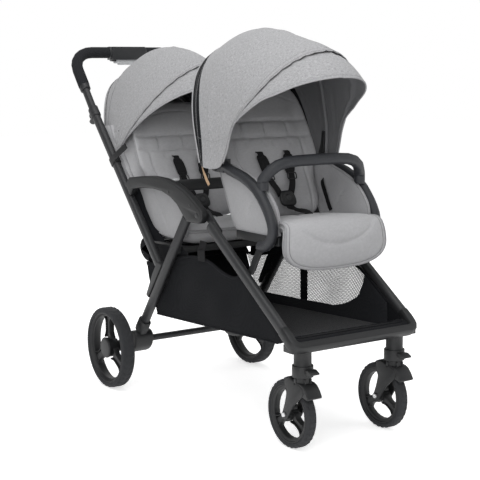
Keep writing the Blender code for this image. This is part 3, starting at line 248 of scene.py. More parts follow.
def at_rest():
    """Object mode with nothing selected."""
    if bpy.context.mode != "OBJECT":
        bpy.ops.object.mode_set(mode="OBJECT")
    bpy.ops.object.select_all(action="DESELECT")


def pick(obj):
    at_rest()
    obj.select_set(True)
    bpy.context.view_layer.objects.active = obj


def editing(obj, mode="FACE"):
    """The mesh of obj in edit mode, with nothing selected."""
    pick(obj)
    bpy.ops.object.mode_set(mode="EDIT")
    bpy.ops.mesh.select_mode(type=mode)
    bpy.ops.mesh.select_all(action="DESELECT")
    mesh = bmesh.from_edit_mesh(obj.data)
    mesh.verts.ensure_lookup_table()
    mesh.faces.ensure_lookup_table()
    return mesh


def outward(obj, merge=1e-6):
    """Merges doubles and turns every face out."""
    editing(obj)
    bpy.ops.mesh.select_all(action="SELECT")
    bpy.ops.mesh.remove_doubles(threshold=merge)
    bpy.ops.mesh.normals_make_consistent(inside=False)
    bpy.ops.object.mode_set(mode="OBJECT")


def modify(obj, kind, **settings):
    """Adds a modifier and applies it."""
    pick(obj)
    modifier = obj.modifiers.new(kind.title(), kind)
    for key, value in settings.items():
        setattr(modifier, key, value)
    bpy.ops.object.modifier_apply(modifier=modifier.name)


def soft_edges(obj, width, angle, segments):
    modify(
        obj, "BEVEL", width=width, segments=segments, limit_method="ANGLE",
        angle_limit=math.radians(angle), harden_normals=False, use_clamp_overlap=True,
    )


def smooth_shade(obj, angle):
    pick(obj)
    bpy.ops.object.shade_smooth_by_angle(angle=math.radians(angle))


def finish(obj, body, key, angle=42, slot=None):
    """Gives a piece its finish and lets it ride; with no key it keeps its materials. The slot is not used."""
    obj.data.name = obj.name
    if angle:
        smooth_shade(obj, angle)
    if key:
        obj.data.materials.clear()
        obj.data.materials.append(look(key))
    if body:
        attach(obj, body)
    slot or FINISHES[key][0]
    at_rest()
    return obj


def joined(name, parts):
    """One object of several."""
    at_rest()
    for part in parts:
        part.select_set(True)
    bpy.context.view_layer.objects.active = parts[0]
    if len(parts) > 1:
        bpy.ops.object.join()
    parts[0].name = name
    return parts[0]


def lift_y(points, side=1):
    """Points measured from the rear axle, in the row frame; side -1 mirrors them to the right."""
    return [Vector((side * p[0], p[1] + AXLE_Y, p[2])) for p in points]


def mirrored(profile, side):
    """A profile of (distance along X, radius) points for either side."""
    return [(side * along, radius) for along, radius in profile]


def unit(a, b):
    d = Vector(b) - Vector(a)
    return d.normalized()


def spline(spans, steps):
    """The points of Catmull-Rom spans, each of four neighbours."""
    path = []
    for a, b, c, d in spans:
        for k in range(steps):
            t = k / steps
            path.append(0.5 * (
                2 * b + (c - a) * t + (2 * a - 5 * b + 4 * c - d) * t * t
                + (3 * b - a - 3 * c + d) * t ** 3
            ))
    return path


def curved(points, steps):
    """A Catmull-Rom curve through the points."""
    points = [Vector(p) for p in points]
    ends = [2 * points[0] - points[1]] + points + [2 * points[-1] - points[-2]]
    return spline(zip(ends, ends[1:], ends[2:], ends[3:]), steps) + [points[-1]]


def smooth_loop(points, steps):
    """A closed Catmull-Rom curve through (y, z) points."""
    around = [Vector((*p, 0.0)) for p in points]
    turns = [around[k:] + around[:k] for k in (-1, 0, 1, 2)]
    return spline(zip(*turns), steps)


def outline_of(points, steps):
    """The same curve as (y, z) pairs."""
    return [(p.x, p.y) for p in smooth_loop(points, steps)]


def oval(width, depth, sides, power=2.0):
    """A rounded section of (across, along) points."""
    points = []
    for i in range(sides):
        t = 2 * math.pi * (i + 0.5) / sides
        c, s = math.cos(t), math.sin(t)
        points.append((
            0.5 * width * math.copysign(abs(c) ** (2 / power), c),
            0.5 * depth * math.copysign(abs(s) ** (2 / power), s),
        ))
    return points


def rings_along(path, section, across, scales, loop):
    """Each point of the path's copy of the section, its first axis as near to across as it can be."""
    path = [Vector(p) for p in path]
    side = Vector(across)
    rings = []
    for i, here in enumerate(path):
        if loop:
            tangent = (path[(i + 1) % len(path)] - path[i - 1]).normalized()
        else:
            tangent = (path[min(i + 1, len(path) - 1)] - path[max(i - 1, 0)]).normalized()
        side = (side - side.dot(tangent) * tangent).normalized()
        up = tangent.cross(side)
        size = scales[i] if scales else 1.0
        rings.append([here + (side * a + up * b) * size for a, b in section])
    return rings


def grid_piece(name, rows, wrap=False, caps=False, loop=False):
    """A grid primitive whose points are moved to rows; wrap closes each row, caps its ends."""
    high, wide = len(rows), len(rows[0])
    if wrap:
        rows = [list(row) + [row[0]] for row in rows]
        wide += 1
    if loop:
        rows = list(rows) + [rows[0]]
        high += 1
    at_rest()
    bpy.ops.mesh.primitive_grid_add(x_subdivisions=wide - 1, y_subdivisions=high - 1, size=1, calc_uvs=True)
    obj = bpy.context.object
    obj.name = name
    obj.data.vertices.foreach_set("co", [c for row in rows for p in row for c in p])
    obj.data.update()
    measure_cloth(obj, rows)
    if wrap or loop:
        editing(obj)
        bpy.ops.mesh.select_all(action="SELECT")
        bpy.ops.mesh.remove_doubles(threshold=1e-7)
        if caps:
            bpy.ops.mesh.select_all(action="DESELECT")
            bpy.ops.mesh.select_mode(type="EDGE")
            bpy.ops.mesh.select_non_manifold(extend=False)
            bpy.ops.mesh.edge_face_add()
        bpy.ops.mesh.select_all(action="SELECT")
        bpy.ops.mesh.normals_make_consistent(inside=False)
        bpy.ops.object.mode_set(mode="OBJECT")
    return obj


def rows_of(down, across, point):
    """Rows of points: point(u, v), with u from 0 to 1 along each row and v from row to row."""
    return [[point(i / across, j / down) for i in range(across + 1)] for j in range(down + 1)]


def flat(half_width, half_thick):
    """The section of a strap."""
    return [(a * half_width, b * half_thick) for a, b in ((-1, -1), (1, -1), (1, 1), (-1, 1))]


def run_lengths(points):
    """The distance of each point along a line, measured from its middle point."""
    lengths = [0.0]
    for a, b in zip(points, points[1:]):
        lengths.append(lengths[-1] + (Vector(b) - Vector(a)).length)
    middle = lengths[len(lengths) // 2]
    return [length - middle for length in lengths]


def measure_cloth(obj, rows):
    """The UV map of a grid, in metres along its rows and columns, so that a weave keeps its scale."""
    wide = len(rows[0])
    across = [run_lengths(row) for row in rows]
    along = [run_lengths([row[i] for row in rows]) for i in range(wide)]
    layer = obj.data.uv_layers[0]
    layer.name = "cloth"
    places = []
    for loop in obj.data.loops:
        j, i = divmod(loop.vertex_index, wide)
        places += [across[j][i], along[i][j]]
    layer.data.foreach_set("uv", places)


def declare_sheet(obj, rows, rests_on):
    """Measures the width and depth that a sheet's rows span, and keeps neither."""
    def longest(lines):
        return max(sum((b - a).length for a, b in zip(line, line[1:])) for line in lines)

    width, depth = longest(rows), longest(zip(*rows))
    for low, high in zip(rows, rows[1:]):
        for a, b, c, d in zip(low, low[1:], high[1:], high):
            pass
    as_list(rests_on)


def swept(name, path, section, across=(1, 0, 0), scales=None, loop=False):
    """A solid tube: an outline extruded from point to point of the path."""
    rings = rings_along(path, section, across, scales, loop)
    if loop:
        return grid_piece(name, rings, wrap=True, loop=True)
    if len(path) > 24:
        return grid_piece(name, rings, wrap=True, caps=True)
    at_rest()
    bpy.ops.mesh.primitive_circle_add(vertices=len(section), fill_type="NGON")
    obj = bpy.context.object
    obj.name = name
    mesh = editing(obj)
    for vertex, place in zip(mesh.verts, rings[0]):
        vertex.co = place
    mesh.faces[0].select_set(True)
    bmesh.update_edit_mesh(obj.data)
    for before, ring in zip(rings, rings[1:]):
        bpy.ops.mesh.extrude_region()
        mesh = bmesh.from_edit_mesh(obj.data)
        found = {tuple(round(c, 6) for c in v.co): v for v in mesh.verts if v.select}
        for start, place in zip(before, ring):
            found[tuple(round(c, 6) for c in start)].co = place
        bmesh.update_edit_mesh(obj.data)
    bpy.ops.mesh.select_all(action="SELECT")
    bpy.ops.mesh.normals_make_consistent(inside=False)
    bpy.ops.object.mode_set(mode="OBJECT")
    return obj


def piped(name, path, radius, sides=8, loop=False):
    """A thin round cord along a path."""
    return swept(name, path, oval(2 * radius, 2 * radius, sides), loop=loop)


def spun(name, profile, centre, axis, steps):
    """A closed profile of points spun about an axis through centre."""
    at_rest()
    bpy.ops.mesh.primitive_circle_add(vertices=len(profile), fill_type="NOTHING")
    obj = bpy.context.object
    obj.name = name
    for vertex, place in zip(obj.data.vertices, profile):
        vertex.co = place
    editing(obj, "EDGE")
    bpy.ops.mesh.select_all(action="SELECT")
    bpy.ops.mesh.spin(steps=steps, angle=2 * math.pi, center=centre, axis=axis)
    bpy.ops.object.mode_set(mode="OBJECT")
    outward(obj, 1e-5)
    return obj


def turned(name, profile, x, axle, steps):
    """A closed profile of (distance along X, radius) points spun about the axle."""
    y, z = axle[0] + AXLE_Y, axle[1]
    return spun(name, [(x + along, y, z + radius) for along, radius in profile], (x, y, z), (1, 0, 0), steps)


def post(name, profile, x, y):
    """A closed profile of (radius, height) points spun about an upright line."""
    y += AXLE_Y
    return spun(name, [(x + radius, y, height) for radius, height in profile], (x, y, 0), (0, 0, 1), 40)


def plate(name, outline, x0, x1, bevel, segments):
    """An outline of (y, z) points, extruded from x0 to x1, its edges rounded."""
    at_rest()
    bpy.ops.mesh.primitive_circle_add(vertices=len(outline), fill_type="NGON")
    obj = bpy.context.object
    obj.name = name
    for vertex, (y, z) in zip(obj.data.vertices, outline):
        vertex.co = (x0, y + AXLE_Y, z)
    editing(obj)
    bpy.ops.mesh.select_all(action="SELECT")
    bpy.ops.mesh.extrude_region_move(TRANSFORM_OT_translate={"value": (x1 - x0, 0, 0)})
    bpy.ops.object.mode_set(mode="OBJECT")
    outward(obj)
    soft_edges(obj, bevel, 30, segments)
    return obj


def block(name, low, high, bevel, segments=3):
    """A cube primitive at its size and place, its edges rounded."""
    at_rest()
    middle = [(a + b) / 2 for a, b in zip(low, high)]
    bpy.ops.mesh.primitive_cube_add(
        size=1, location=(middle[0], middle[1] + AXLE_Y, middle[2]),
        scale=[b - a for a, b in zip(low, high)],
    )
    obj = bpy.context.object
    obj.name = name
    bpy.ops.object.transform_apply(location=True, rotation=True, scale=True)
    soft_edges(obj, bevel, 30, segments)
    return obj


def refined(node, bevel, angle=38, segments=2):
    """A copy of a CAD node's shape with its triangles merged and its edges eased."""
    source = frame["nodes"][node]
    pick(source)
    bpy.ops.object.duplicate()
    obj = bpy.context.object
    obj.parent = None
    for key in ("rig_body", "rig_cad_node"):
        del obj[key]
    editing(obj)
    bpy.ops.mesh.select_all(action="SELECT")
    bpy.ops.mesh.remove_doubles(threshold=1e-5)
    bpy.ops.mesh.customdata_custom_splitnormals_clear()
    bpy.ops.mesh.dissolve_limited(angle_limit=math.radians(0.8))
    bpy.ops.object.mode_set(mode="OBJECT")
    soft_edges(obj, bevel, angle, segments)
    return obj


def stands_for(obj, node, key, angle=42):
    """Finishes a piece that stands for a CAD node."""
    obj.name = f"{node}_look"
    finish(obj, BODY_OF[node], key, angle)
    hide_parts(node)
    return obj


# Finishes.


class Wiring:
    """Adds nodes to a tree; each input is given a value or another node's output."""

    def __init__(self, tree):
        self.tree = tree

    def put(self, kind, inputs=None, **settings):
        node = self.tree.nodes.new(kind)
        for key, value in settings.items():
            setattr(node, key, value)
        for key, value in (inputs or {}).items():
            socket = node.inputs[key]
            if isinstance(value, bpy.types.NodeSocket):
                self.tree.links.new(value, socket)
            else:
                socket.default_value = value
        return node

    def math(self, operation, a, b=0.0, c=0.0):
        return self.put("ShaderNodeMath", {0: a, 1: b, 2: c}, operation=operation).outputs[0]

    def scaled(self, value, share):
        return self.math("MULTIPLY", value, share)

    def between(self, value, low, high, start=0.0, end=1.0):
        """value's place from low to high, kept within start to end."""
        return self.put("ShaderNodeMapRange", {0: value, 1: low, 2: high, 3: start, 4: end}).outputs[0]

    def noise(self, vector, scale, detail=2.0, roughness=0.5):
        inputs = {"Vector": vector, "Scale": scale, "Detail": detail, "Roughness": roughness}
        return self.put("ShaderNodeTexNoise", inputs).outputs["Fac"]

    def stretched(self, vector, scale):
        return self.put("ShaderNodeMapping", {"Vector": vector, "Scale": scale}).outputs[0]

    def apart(self, vector):
        return self.put("ShaderNodeSeparateXYZ", {0: vector}).outputs

    def mixed(self, share, a, b):
        return self.put("ShaderNodeMix", {0: share, 6: a, 7: b}, data_type="RGBA").outputs[2]

    def group(self, tree, inputs):
        return self.put("ShaderNodeGroup", inputs, node_tree=tree).outputs

    def place(self, mapped=False):
        """The cloth's own UV map, or the object's coordinates."""
        if mapped:
            return self.put("ShaderNodeUVMap", uv_map="cloth").outputs[0]
        return self.put("ShaderNodeTexCoord").outputs["Object"]


def effect(name, values, results, wire):
    """A shader node group, made once: a vector and named values go in, named results come out."""
    made = bpy.data.node_groups.get(name)
    if made:
        return made
    made = bpy.data.node_groups.new(name, "ShaderNodeTree")
    made.interface.new_socket("Vector", in_out="INPUT", socket_type="NodeSocketVector")
    for label, default in values.items():
        socket = made.interface.new_socket(label, in_out="INPUT", socket_type="NodeSocketFloat")
        socket.default_value = default
    for label in results:
        made.interface.new_socket(label, in_out="OUTPUT", socket_type="NodeSocketFloat")
    w = Wiring(made)
    given = w.put("NodeGroupInput").outputs
    ends = w.put("NodeGroupOutput").inputs
    for label, value in wire(w, given).items():
        made.links.new(value, ends[label])
    return made


def weave(w, given):
    """Crossing yarns of a plain cloth, with the mottle of two shades spun together."""
    vector = given["Vector"]
    place = w.apart(vector)
    turn = w.math("DIVIDE", 2 * math.pi, given["Pitch"])
    warp, weft = (w.math("SINE", w.scaled(place[k], turn)) for k in (0, 1))
    slub = w.noise(w.stretched(vector, (110.0, 460.0, 110.0)), 1.0, 3.0, 0.6)
    ends = w.noise(w.stretched(vector, (420.0, 105.0, 420.0)), 1.0, 3.0, 0.6)
    tone = w.math("ADD", w.scaled(slub, 0.6), w.scaled(ends, 0.4))
    return {
        "Height": w.math("MULTIPLY_ADD", w.scaled(warp, weft), 0.5, 0.5),
        "Tone": w.between(tone, 0.34, 0.66),
        "Cloud": w.noise(vector, 14.0, 3.0, 0.55),
    }


def grain(w, given):
    """Pebbled grain of moulded plastic, leatherette and rubber, with slow changes of gloss."""
    vector, scale = given["Vector"], given["Scale"]
    cells = w.put("ShaderNodeTexVoronoi", {"Vector": vector, "Scale": scale}, feature="DISTANCE_TO_EDGE")
    pebbles = w.between(cells.outputs["Distance"], 0.0, 0.16)
    fine = w.noise(vector, w.scaled(scale, 2.3), 3.0, 0.6)
    height = w.math("ADD", w.scaled(pebbles, given["Pebbles"]), w.scaled(fine, 0.35))
    return {"Height": height, "Cloud": w.noise(vector, 9.0, 3.0, 0.6)}


def rub(w, given):
    """Where hands, shoes and the floor have rubbed: soft patches, more of them low down."""
    patches = w.between(w.noise(given["Vector"], 38.0, 5.0, 0.65), 0.52, 0.78)
    low = w.between(w.apart(given["Vector"])[2], 0.30, 0.02)
    return {"Rubbed": w.scaled(patches, w.math("MULTIPLY_ADD", low, given["Low"], given["All"]))}


def woven(w, place, pitch):
    tree = effect("Plain Weave", {"Pitch": 0.0012}, ("Height", "Tone", "Cloud"), weave)
    return w.group(tree, {"Vector": place, "Pitch": pitch})


def pebbled(w, place, scale, pebbles):
    tree = effect("Pebble Grain", {"Scale": 900.0, "Pebbles": 0.4}, ("Height", "Cloud"), grain)
    return w.group(tree, {"Vector": place, "Scale": scale, "Pebbles": pebbles})


def rubbed(w, place, low, everywhere):
    tree = effect("Rubbed Patches", {"Low": 0.4, "All": 0.1}, ("Rubbed",), rub)
    return w.group(tree, {"Vector": place, "Low": low, "All": everywhere})["Rubbed"]


def tint(colour, share):
    """The colour, lighter or darker by a share."""
    return (*(min(1.0, max(0.0, c * (1 + share))) for c in colour), 1.0)


def new_finish(name, roughness, metallic=0.0, sheen=0.0, coat=0.0, specular=0.5):
    """A material with one Principled shader; returns it, its wiring and the shader's inputs."""
    made = bpy.data.materials.new(name)
    made.use_nodes = True
    inputs = made.node_tree.nodes["Principled BSDF"].inputs
    values = {"Roughness": roughness, "Metallic": metallic, "Specular IOR Level": specular}
    if sheen:
        values.update({"Sheen Weight": sheen, "Sheen Roughness": 0.5})
    if coat:
        values.update({"Coat Weight": coat, "Coat Roughness": 0.3})
    for key, value in values.items():
        inputs[key].default_value = value
    return made, Wiring(made.node_tree), inputs


def join_up(w, inputs, colour, roughness=None, height=None, distance=0.0002, strength=0.5):
    """Leads the colour, the gloss and the relief to the shader."""
    w.tree.links.new(colour, inputs["Base Color"])
    if roughness is not None:
        w.tree.links.new(roughness, inputs["Roughness"])
    if height is not None:
        bump = w.put("ShaderNodeBump", {"Height": height, "Distance": distance, "Strength": strength})
        w.tree.links.new(bump.outputs[0], inputs["Normal"])


def once(function):
    """Keeps the material that a function makes, so that it is made one time."""
    kept = {}

    def wrapper(*args):
        if args not in kept:
            kept[args] = function(*args)
        return kept[args]

    return wrapper


@once
def cloth_finish(name, colour, mapped, mottle, pitch, wrinkle=0.0):
    """Woven cloth: mottled yarns, a soft sheen and, where it hangs, fine creases."""
    made, w, inputs = new_finish(name, 0.92, sheen=0.12 if max(colour) > 0.02 else 0.02, specular=0.18)
    place = w.place(mapped)
    cloth = woven(w, place, pitch)
    body = w.mixed(cloth["Tone"], tint(colour, -mottle), tint(colour, mottle))
    cloud = w.between(cloth["Cloud"], 0.3, 0.7)
    body = w.mixed(w.scaled(cloud, 0.20), body, tint(colour, -0.20))
    if wrinkle:
        folds = w.noise(w.stretched(place, (16.0, 34.0, 20.0)), 1.0, 4.0, 0.55)
        creases = w.scaled(w.math("ABSOLUTE", w.math("SUBTRACT", folds, 0.5)), wrinkle)
        join_up(w, inputs, body, None, w.math("ADD", w.scaled(cloth["Height"], 0.10), creases), 0.0022, 0.55)
    else:
        join_up(w, inputs, body, None, cloth["Height"], 0.00025, 0.6)
    return made


@once
def net_finish(name, colour, pitch, thread):
    """Knitted net: round holes in staggered rows between dark threads."""
    made, w, inputs = new_finish(name, 0.85, specular=0.25)
    place = w.apart(w.place(True))
    turn = 2 * math.pi / pitch
    across, along = w.scaled(place[0], turn), w.scaled(place[1], turn * 0.58)
    holes = w.math("ADD", *(w.math("COSINE", w.math(kind, across, along)) for kind in ("ADD", "SUBTRACT")))
    solid = w.between(holes, 2 * thread - 0.25, 2 * thread + 0.25, 1.0, 0.0)
    w.tree.links.new(solid, inputs["Alpha"])
    join_up(w, inputs, w.mixed(w.noise(w.place(True), 300.0, 2.0), tint(colour, -0.2), tint(colour, 0.3)))
    return made


@once
def webbing_finish(name, colour):
    """Flat webbing with a herringbone rib along its length."""
    made, w, inputs = new_finish(name, 0.80, specular=0.3)
    place = w.apart(w.place())
    slant = w.math("ADD", w.scaled(place[0], 1900.0), w.scaled(place[2], 2300.0))
    ribs = w.math("SINE", w.math("ADD", slant, w.scaled(place[1], 1700.0)))
    # The ribs' crests are painted lighter and their grooves darker: painted highlight and shade that follow
    # the bump.
    shade = w.mixed(w.math("MULTIPLY_ADD", ribs, 0.5, 0.5), tint(colour, -0.3), tint(colour, 0.7))
    join_up(w, inputs, shade, None, ribs, 0.0003, 0.5)
    return made


@once
def moulded_finish(
    name, colour, roughness, scale=1100.0, pebbles=0.3, low=0.25, everywhere=0.08, depth=0.00012
):
    """Moulded plastic, rubber or leatherette: pebbled grain, slow gloss changes and rubbed patches."""
    made, w, inputs = new_finish(name, roughness, specular=0.45)
    skin = pebbled(w, w.place(), scale, pebbles)
    worn = rubbed(w, w.place(), low, everywhere)
    body = w.mixed(w.between(skin["Cloud"], 0.3, 0.7), tint(colour, -0.12), tint(colour, 0.12))
    body = w.mixed(w.scaled(worn, 0.5), body, (*(0.75 * c + 0.035 for c in colour), 1.0))
    gloss = w.between(skin["Cloud"], 0.25, 0.75, roughness - 0.06, roughness + 0.06)
    gloss = w.math("ADD", gloss, w.scaled(worn, 0.18))
    join_up(w, inputs, body, gloss, skin["Height"], depth, 0.5)
    return made


@once
def paint_finish(name, colour):
    """Satin powder coat: fine orange peel under a thin coat."""
    made, w, inputs = new_finish(name, 0.50, coat=0.08, specular=0.45)
    cloud = w.noise(w.place(), 7.0, 3.0, 0.6)
    body = w.mixed(w.between(cloud, 0.3, 0.7), tint(colour, -0.10), tint(colour, 0.10))
    body = w.mixed(w.scaled(rubbed(w, w.place(), 0.4, 0.1), 0.4), body, tint(colour, 1.0))
    gloss = w.between(cloud, 0.25, 0.75, 0.46, 0.56)
    join_up(w, inputs, body, gloss, w.noise(w.place(), 850.0), 0.00008, 0.4)
    return made


@once
def foam_finish(name, colour):
    """Closed-cell foam with open pores."""
    made, w, inputs = new_finish(name, 0.93, specular=0.25)
    pores = w.put("ShaderNodeTexVoronoi", {"Vector": w.place(), "Scale": 620.0}).outputs["Distance"]
    skin = w.noise(w.place(), 260.0, 4.0, 0.65)
    # The pits of the pores are painted darker and the cell walls lighter: painted shade and highlight that
    # follow the bump.
    body = w.mixed(w.between(pores, 0.1, 0.6), tint(colour, -0.25), tint(colour, 0.35))
    join_up(w, inputs, body, None, w.math("ADD", w.scaled(pores, 0.6), w.scaled(skin, 0.6)), 0.0004, 0.6)
    return made


@once
def metal_finish(name, colour, roughness):
    """Zinc-plated steel with fine scratches."""
    made, w, inputs = new_finish(name, roughness, metallic=1.0)
    lines = w.noise(w.stretched(w.place(), (300.0, 4000.0, 300.0)), 1.0, 3.0, 0.6)
    gloss = w.between(lines, 0.3, 0.7, roughness - 0.06, roughness + 0.1)
    join_up(w, inputs, w.mixed(lines, tint(colour, -0.12), tint(colour, 0.1)), gloss, lines, 0.00005, 0.3)
    return made


# Each finish: its slot, maker and name, its colour's setting and share of it, and the maker's own values.
FINISHES = {
    "canopy_cloth": ("melange_grey", cloth_finish, "melange cloth", "canopy", 1.0, True, 0.36, 0.0011, 0.9),
    "lining_cloth": ("melange_grey", cloth_finish, "canopy lining", "lining", 1.0, True, 0.06, 0.0009, 0.5),
    "melange_binding": ("melange_grey", cloth_finish, "melange binding", "canopy", 1.04, False, 0.10, 0.0008),
    "sleeve_cloth": ("melange_grey", cloth_finish, "bow sleeve", "lining", 1.25, False, 0.06, 0.0009),
    "seat_cloth": ("pad_grey", cloth_finish, "seat cloth", "seat", 1.0, False, 0.07, 0.0010),
    "edge_cloth": ("pad_grey", cloth_finish, "edge binding", "seat_edge", 1.0, False, 0.08, 0.0010),
    "thread_cloth": ("melange_grey", cloth_finish, "stitching", "seat", 0.62, False, 0.10, 0.0006),
    "nylon_cloth": ("basket_black", cloth_finish, "basket nylon", "nylon", 1.0, False, 0.20, 0.0012),
    # The basket nylon painted 2.1 times lighter: painted light on the floor and bands, which lie in shade.
    "floor_cloth": ("basket_black", cloth_finish, "basket floor cloth", "nylon", 2.1, False, 0.20, 0.0012),
    "basket_net": ("basket_black", net_finish, "basket net", "nylon", 1.0, 0.0062, 0.04),
    "webbing": ("webbing_black", webbing_finish, "webbing", "webbing", 1.0),
    "paint": ("frame_black", paint_finish, "frame paint", "paint", 1.0),
    "plastic": ("plastic_black", moulded_finish, "moulded plastic", "plastic", 1.0, 0.50),
    "button_plastic": ("plastic_black", moulded_finish, "button plastic", "plastic", 1.9, 0.42),
    "lever_plastic": (
        "lever_grey", moulded_finish, "lever plastic", "lever", 1.0, 0.45, 1300.0, 0.2, 0.0, 0.06, 0.00010,
    ),
    "rubber": (
        "tyre_black", moulded_finish, "tyre rubber", "tyre", 1.0, 0.78, 1500.0, 0.5, 0.5, 0.10, 0.00016,
    ),
    "leatherette": (
        "leatherette_black", moulded_finish, "leatherette", "leather", 1.0, 0.46, 640.0, 0.9, 0.0, 0.10,
        0.00028,
    ),
    "tag_leather": (
        "melange_grey", moulded_finish, "zip pull", "tag", 1.0, 0.60, 700.0, 0.8, 0.0, 0.15, 0.00025,
    ),
    "foam": ("foam_black", foam_finish, "grip foam", "foam", 1.0),
    "steel": ("bolt_steel", metal_finish, "plated steel", "steel", 1.0, 0.30),
}


def look(key):
    """The finish of that key, in the colour that the settings give."""
    _, maker, name, setting, share, *values = FINISHES[key]
    return maker(name, tuple(share * c for c in getattr(colours(), setting)), *values)


# Tubes, housings and other hard fittings.


def build_tubes():
    """Painted tubes: the push tubes, legs, front tubes, cross tube and the U of the handle."""
    for word in SIDES:
        for node in (f"push_tube_{word}", f"front_tube_{word}", f"rear_leg_{word}"):
            stands_for(refined(node, 0.0010), node, "paint")
    stands_for(refined("cross_tube", 0.0006), "cross_tube", "paint")
    stands_for(refined("handle_tube", 0.0006), "handle_tube", "paint")


def build_fittings():
    """Moulded fittings: arms, axle housings, front frame, seat frames, pedal and locks."""
    nodes = ["front_frame", "rear_seat_frame", "rear_bar", "brake_pedal"]
    for word in SIDES:
        nodes += [f"rear_arm_{word}", f"swivel_lock_{word}"]
    for node in nodes:
        stands_for(refined(node, 0.0014), node, "plastic")
    build_forks()
    build_rear_housings()
    for word, side in SIDES.items():
        x0, x1 = sorted((side * 0.180, side * 0.197))
        button = block(f"bar_button_{word}", (x0, -0.3000, 0.6640), (x1, -0.2860, 0.6715), 0.0028, 4)
        finish(button, "rear_frame", "lever_plastic")
    for word, side in SIDES.items():
        heads = []
        for y, z, r in ((*FOLD_PIVOT, 0.0078), (-0.418, 0.607, 0.0040), (-0.300, 0.634, 0.0040)):
            heads.append(turned("head", mirrored([
                (-0.004, 0.0), (-0.004, r), (0.0002, r), (0.0012, 0.86 * r), (0.0014, 0.45 * r),
                (0.0006, 0.32 * r), (0.0006, 0.0),
            ], side), side * 0.2180, (y, z), 24))
        finish(joined(f"arm_screws_{word}", heads), "rear_frame", "button_plastic", 40)
    build_seat_tray()


def build_forks():
    """The casters' forks: a neck, a crown arched over the tyre with a lip in front, and two legs."""
    clear, inner, outer = 0.0955, 0.0185, 0.0245
    arch = []
    for k in range(9):
        t = math.radians(86 + 52 * k / 8)
        arch.append((FRONT_WHEEL[0] + clear * math.cos(t), FRONT_WHEEL[1] + clear * math.sin(t)))
    crown = arch + [
        (-0.9120, 0.1490), (-0.9165, 0.1530), (-0.9070, 0.1690), (-0.8950, 0.1815), (-0.8840, 0.1860),
        (-0.8620, 0.1880), (-0.8460, 0.1925), (-0.8370, 0.1965), (-0.8260, 0.1955), (-0.8150, 0.1910),
    ]
    leg = outline_of([
        (-0.8160, 0.1780), (-0.8235, 0.1560), (-0.8180, 0.1280), (-0.8085, 0.1020), (-0.8035, 0.0880),
        (-0.8070, 0.0800), (-0.8150, 0.0775), (-0.8245, 0.0800), (-0.8330, 0.0920), (-0.8500, 0.1180),
        (-0.8670, 0.1350), (-0.8860, 0.1500), (-0.8960, 0.1600), (-0.8900, 0.1790), (-0.8620, 0.1860),
        (-0.8380, 0.1940), (-0.8220, 0.1920),
    ], 4)
    neck = [(0.0, 0.1800), (0.0225, 0.1800), (0.0225, 0.1985), (0.0215, 0.1992), (0.0, 0.1992)]
    # The ribs on the neck: how far out, half as wide, and from where to where behind the caster's axis.
    ribs = ((0.009, 0.0025, -0.0245, -0.0160), (0.0225, 0.0020, -0.0030, 0.0060))
    for word, side in SIDES.items():
        x = side * FRONT_WHEEL_X
        parts = [
            plate("crown", crown, x - outer + 0.0012, x + outer - 0.0012, 0.0026, 3),
            plate("leg", leg, x + inner, x + outer, 0.0014, 2),
            plate("leg", leg, x - outer, x - inner, 0.0014, 2),
            post("neck", neck, x, CASTER_Y),
        ]
        for k in (-1, 1):
            for out, half, low, high in ribs:
                middle = x + out * k
                lowest = (middle - half, CASTER_Y + low, 0.1800)
                parts.append(block("rib", lowest, (middle + half, CASTER_Y + high, 0.1975), 0.0014))
        stands_for(joined("fork", parts), f"fork_{word}", "plastic", 50)


def build_rear_housings():
    """The rear legs' feet: a collar on the leg, a rounded body, the stub axle and the cross tube's seat."""
    end = Vector((0, -0.112, 0.2145))
    leg = unit((0, -0.383, 0.5675), end)
    outline = outline_of([
        (-0.1080, 0.1620), (-0.1050, 0.1790), (-0.0880, 0.1890), (-0.0680, 0.1830), (-0.0340, 0.1580),
        (-0.0100, 0.1500), (0.0110, 0.1440), (0.0185, 0.1260), (0.0100, 0.1110), (-0.0260, 0.1085),
        (-0.0700, 0.1180), (-0.0970, 0.1360),
    ], 4)
    seat = [(0.0, 0.0), (0.0, 0.0165), (0.010, 0.0165), (0.010, 0.0)]
    stub = [
        (0.0, 0.0), (0.0, 0.0170), (0.0130, 0.0170), (0.0145, 0.0155), (0.0145, 0.0060), (0.0495, 0.0060),
        (0.0495, 0.0),
    ]
    for word, side in SIDES.items():
        spots = [end + leg * along for along in (-0.014, -0.012, 0.020, 0.032)]
        parts = [
            plate("body", outline, *sorted((side * 0.1690, side * 0.2320)), 0.0050, 4),
            swept(
                "collar", lift_y([(TUBE_X, p.y, p.z) for p in spots], side), oval(0.0330, 0.0390, 28, 3.0),
                scales=[0.92, 1.0, 1.03, 1.0],
            ),
            turned("seat", mirrored(seat, side), side * 0.1652, (-0.080, 0.157), 28),
            turned("stub", mirrored(stub, side), side * 0.2255, REAR_WHEEL, 28),
        ]
        stands_for(joined("foot", parts), f"rear_housing_{word}", "plastic", 50)
        build_hood_clip(word, side)


def build_hood_clip(word, side):
    """The band on the push tube that holds the rear hood, with its tab."""
    slope = unit((0, tube_y(0.60), 0.60), (0, tube_y(0.80), 0.80))
    start = Vector((side * TUBE_X, tube_y(0.694) + AXLE_Y, 0.694))
    band = swept(
        "band", [start + slope * a for a in (0, 0.002, 0.026, 0.028)], oval(0.0300, 0.0350, 24, 2.6),
        scales=[0.94, 1.0, 1.0, 0.94],
    )
    tab = swept("tab", curved(lift_y([
        (0.2180, tube_y(0.708) - 0.006, 0.708), (0.2150, 0.030, 0.722), (0.2060, 0.008, 0.740),
        (0.1985, -0.008, 0.754),
    ], side), 4), oval(0.0050, 0.0200, 16, 4.0))
    finish(joined(f"hood_clip_{word}", [band, tab]), "rear_frame", "plastic", 50)


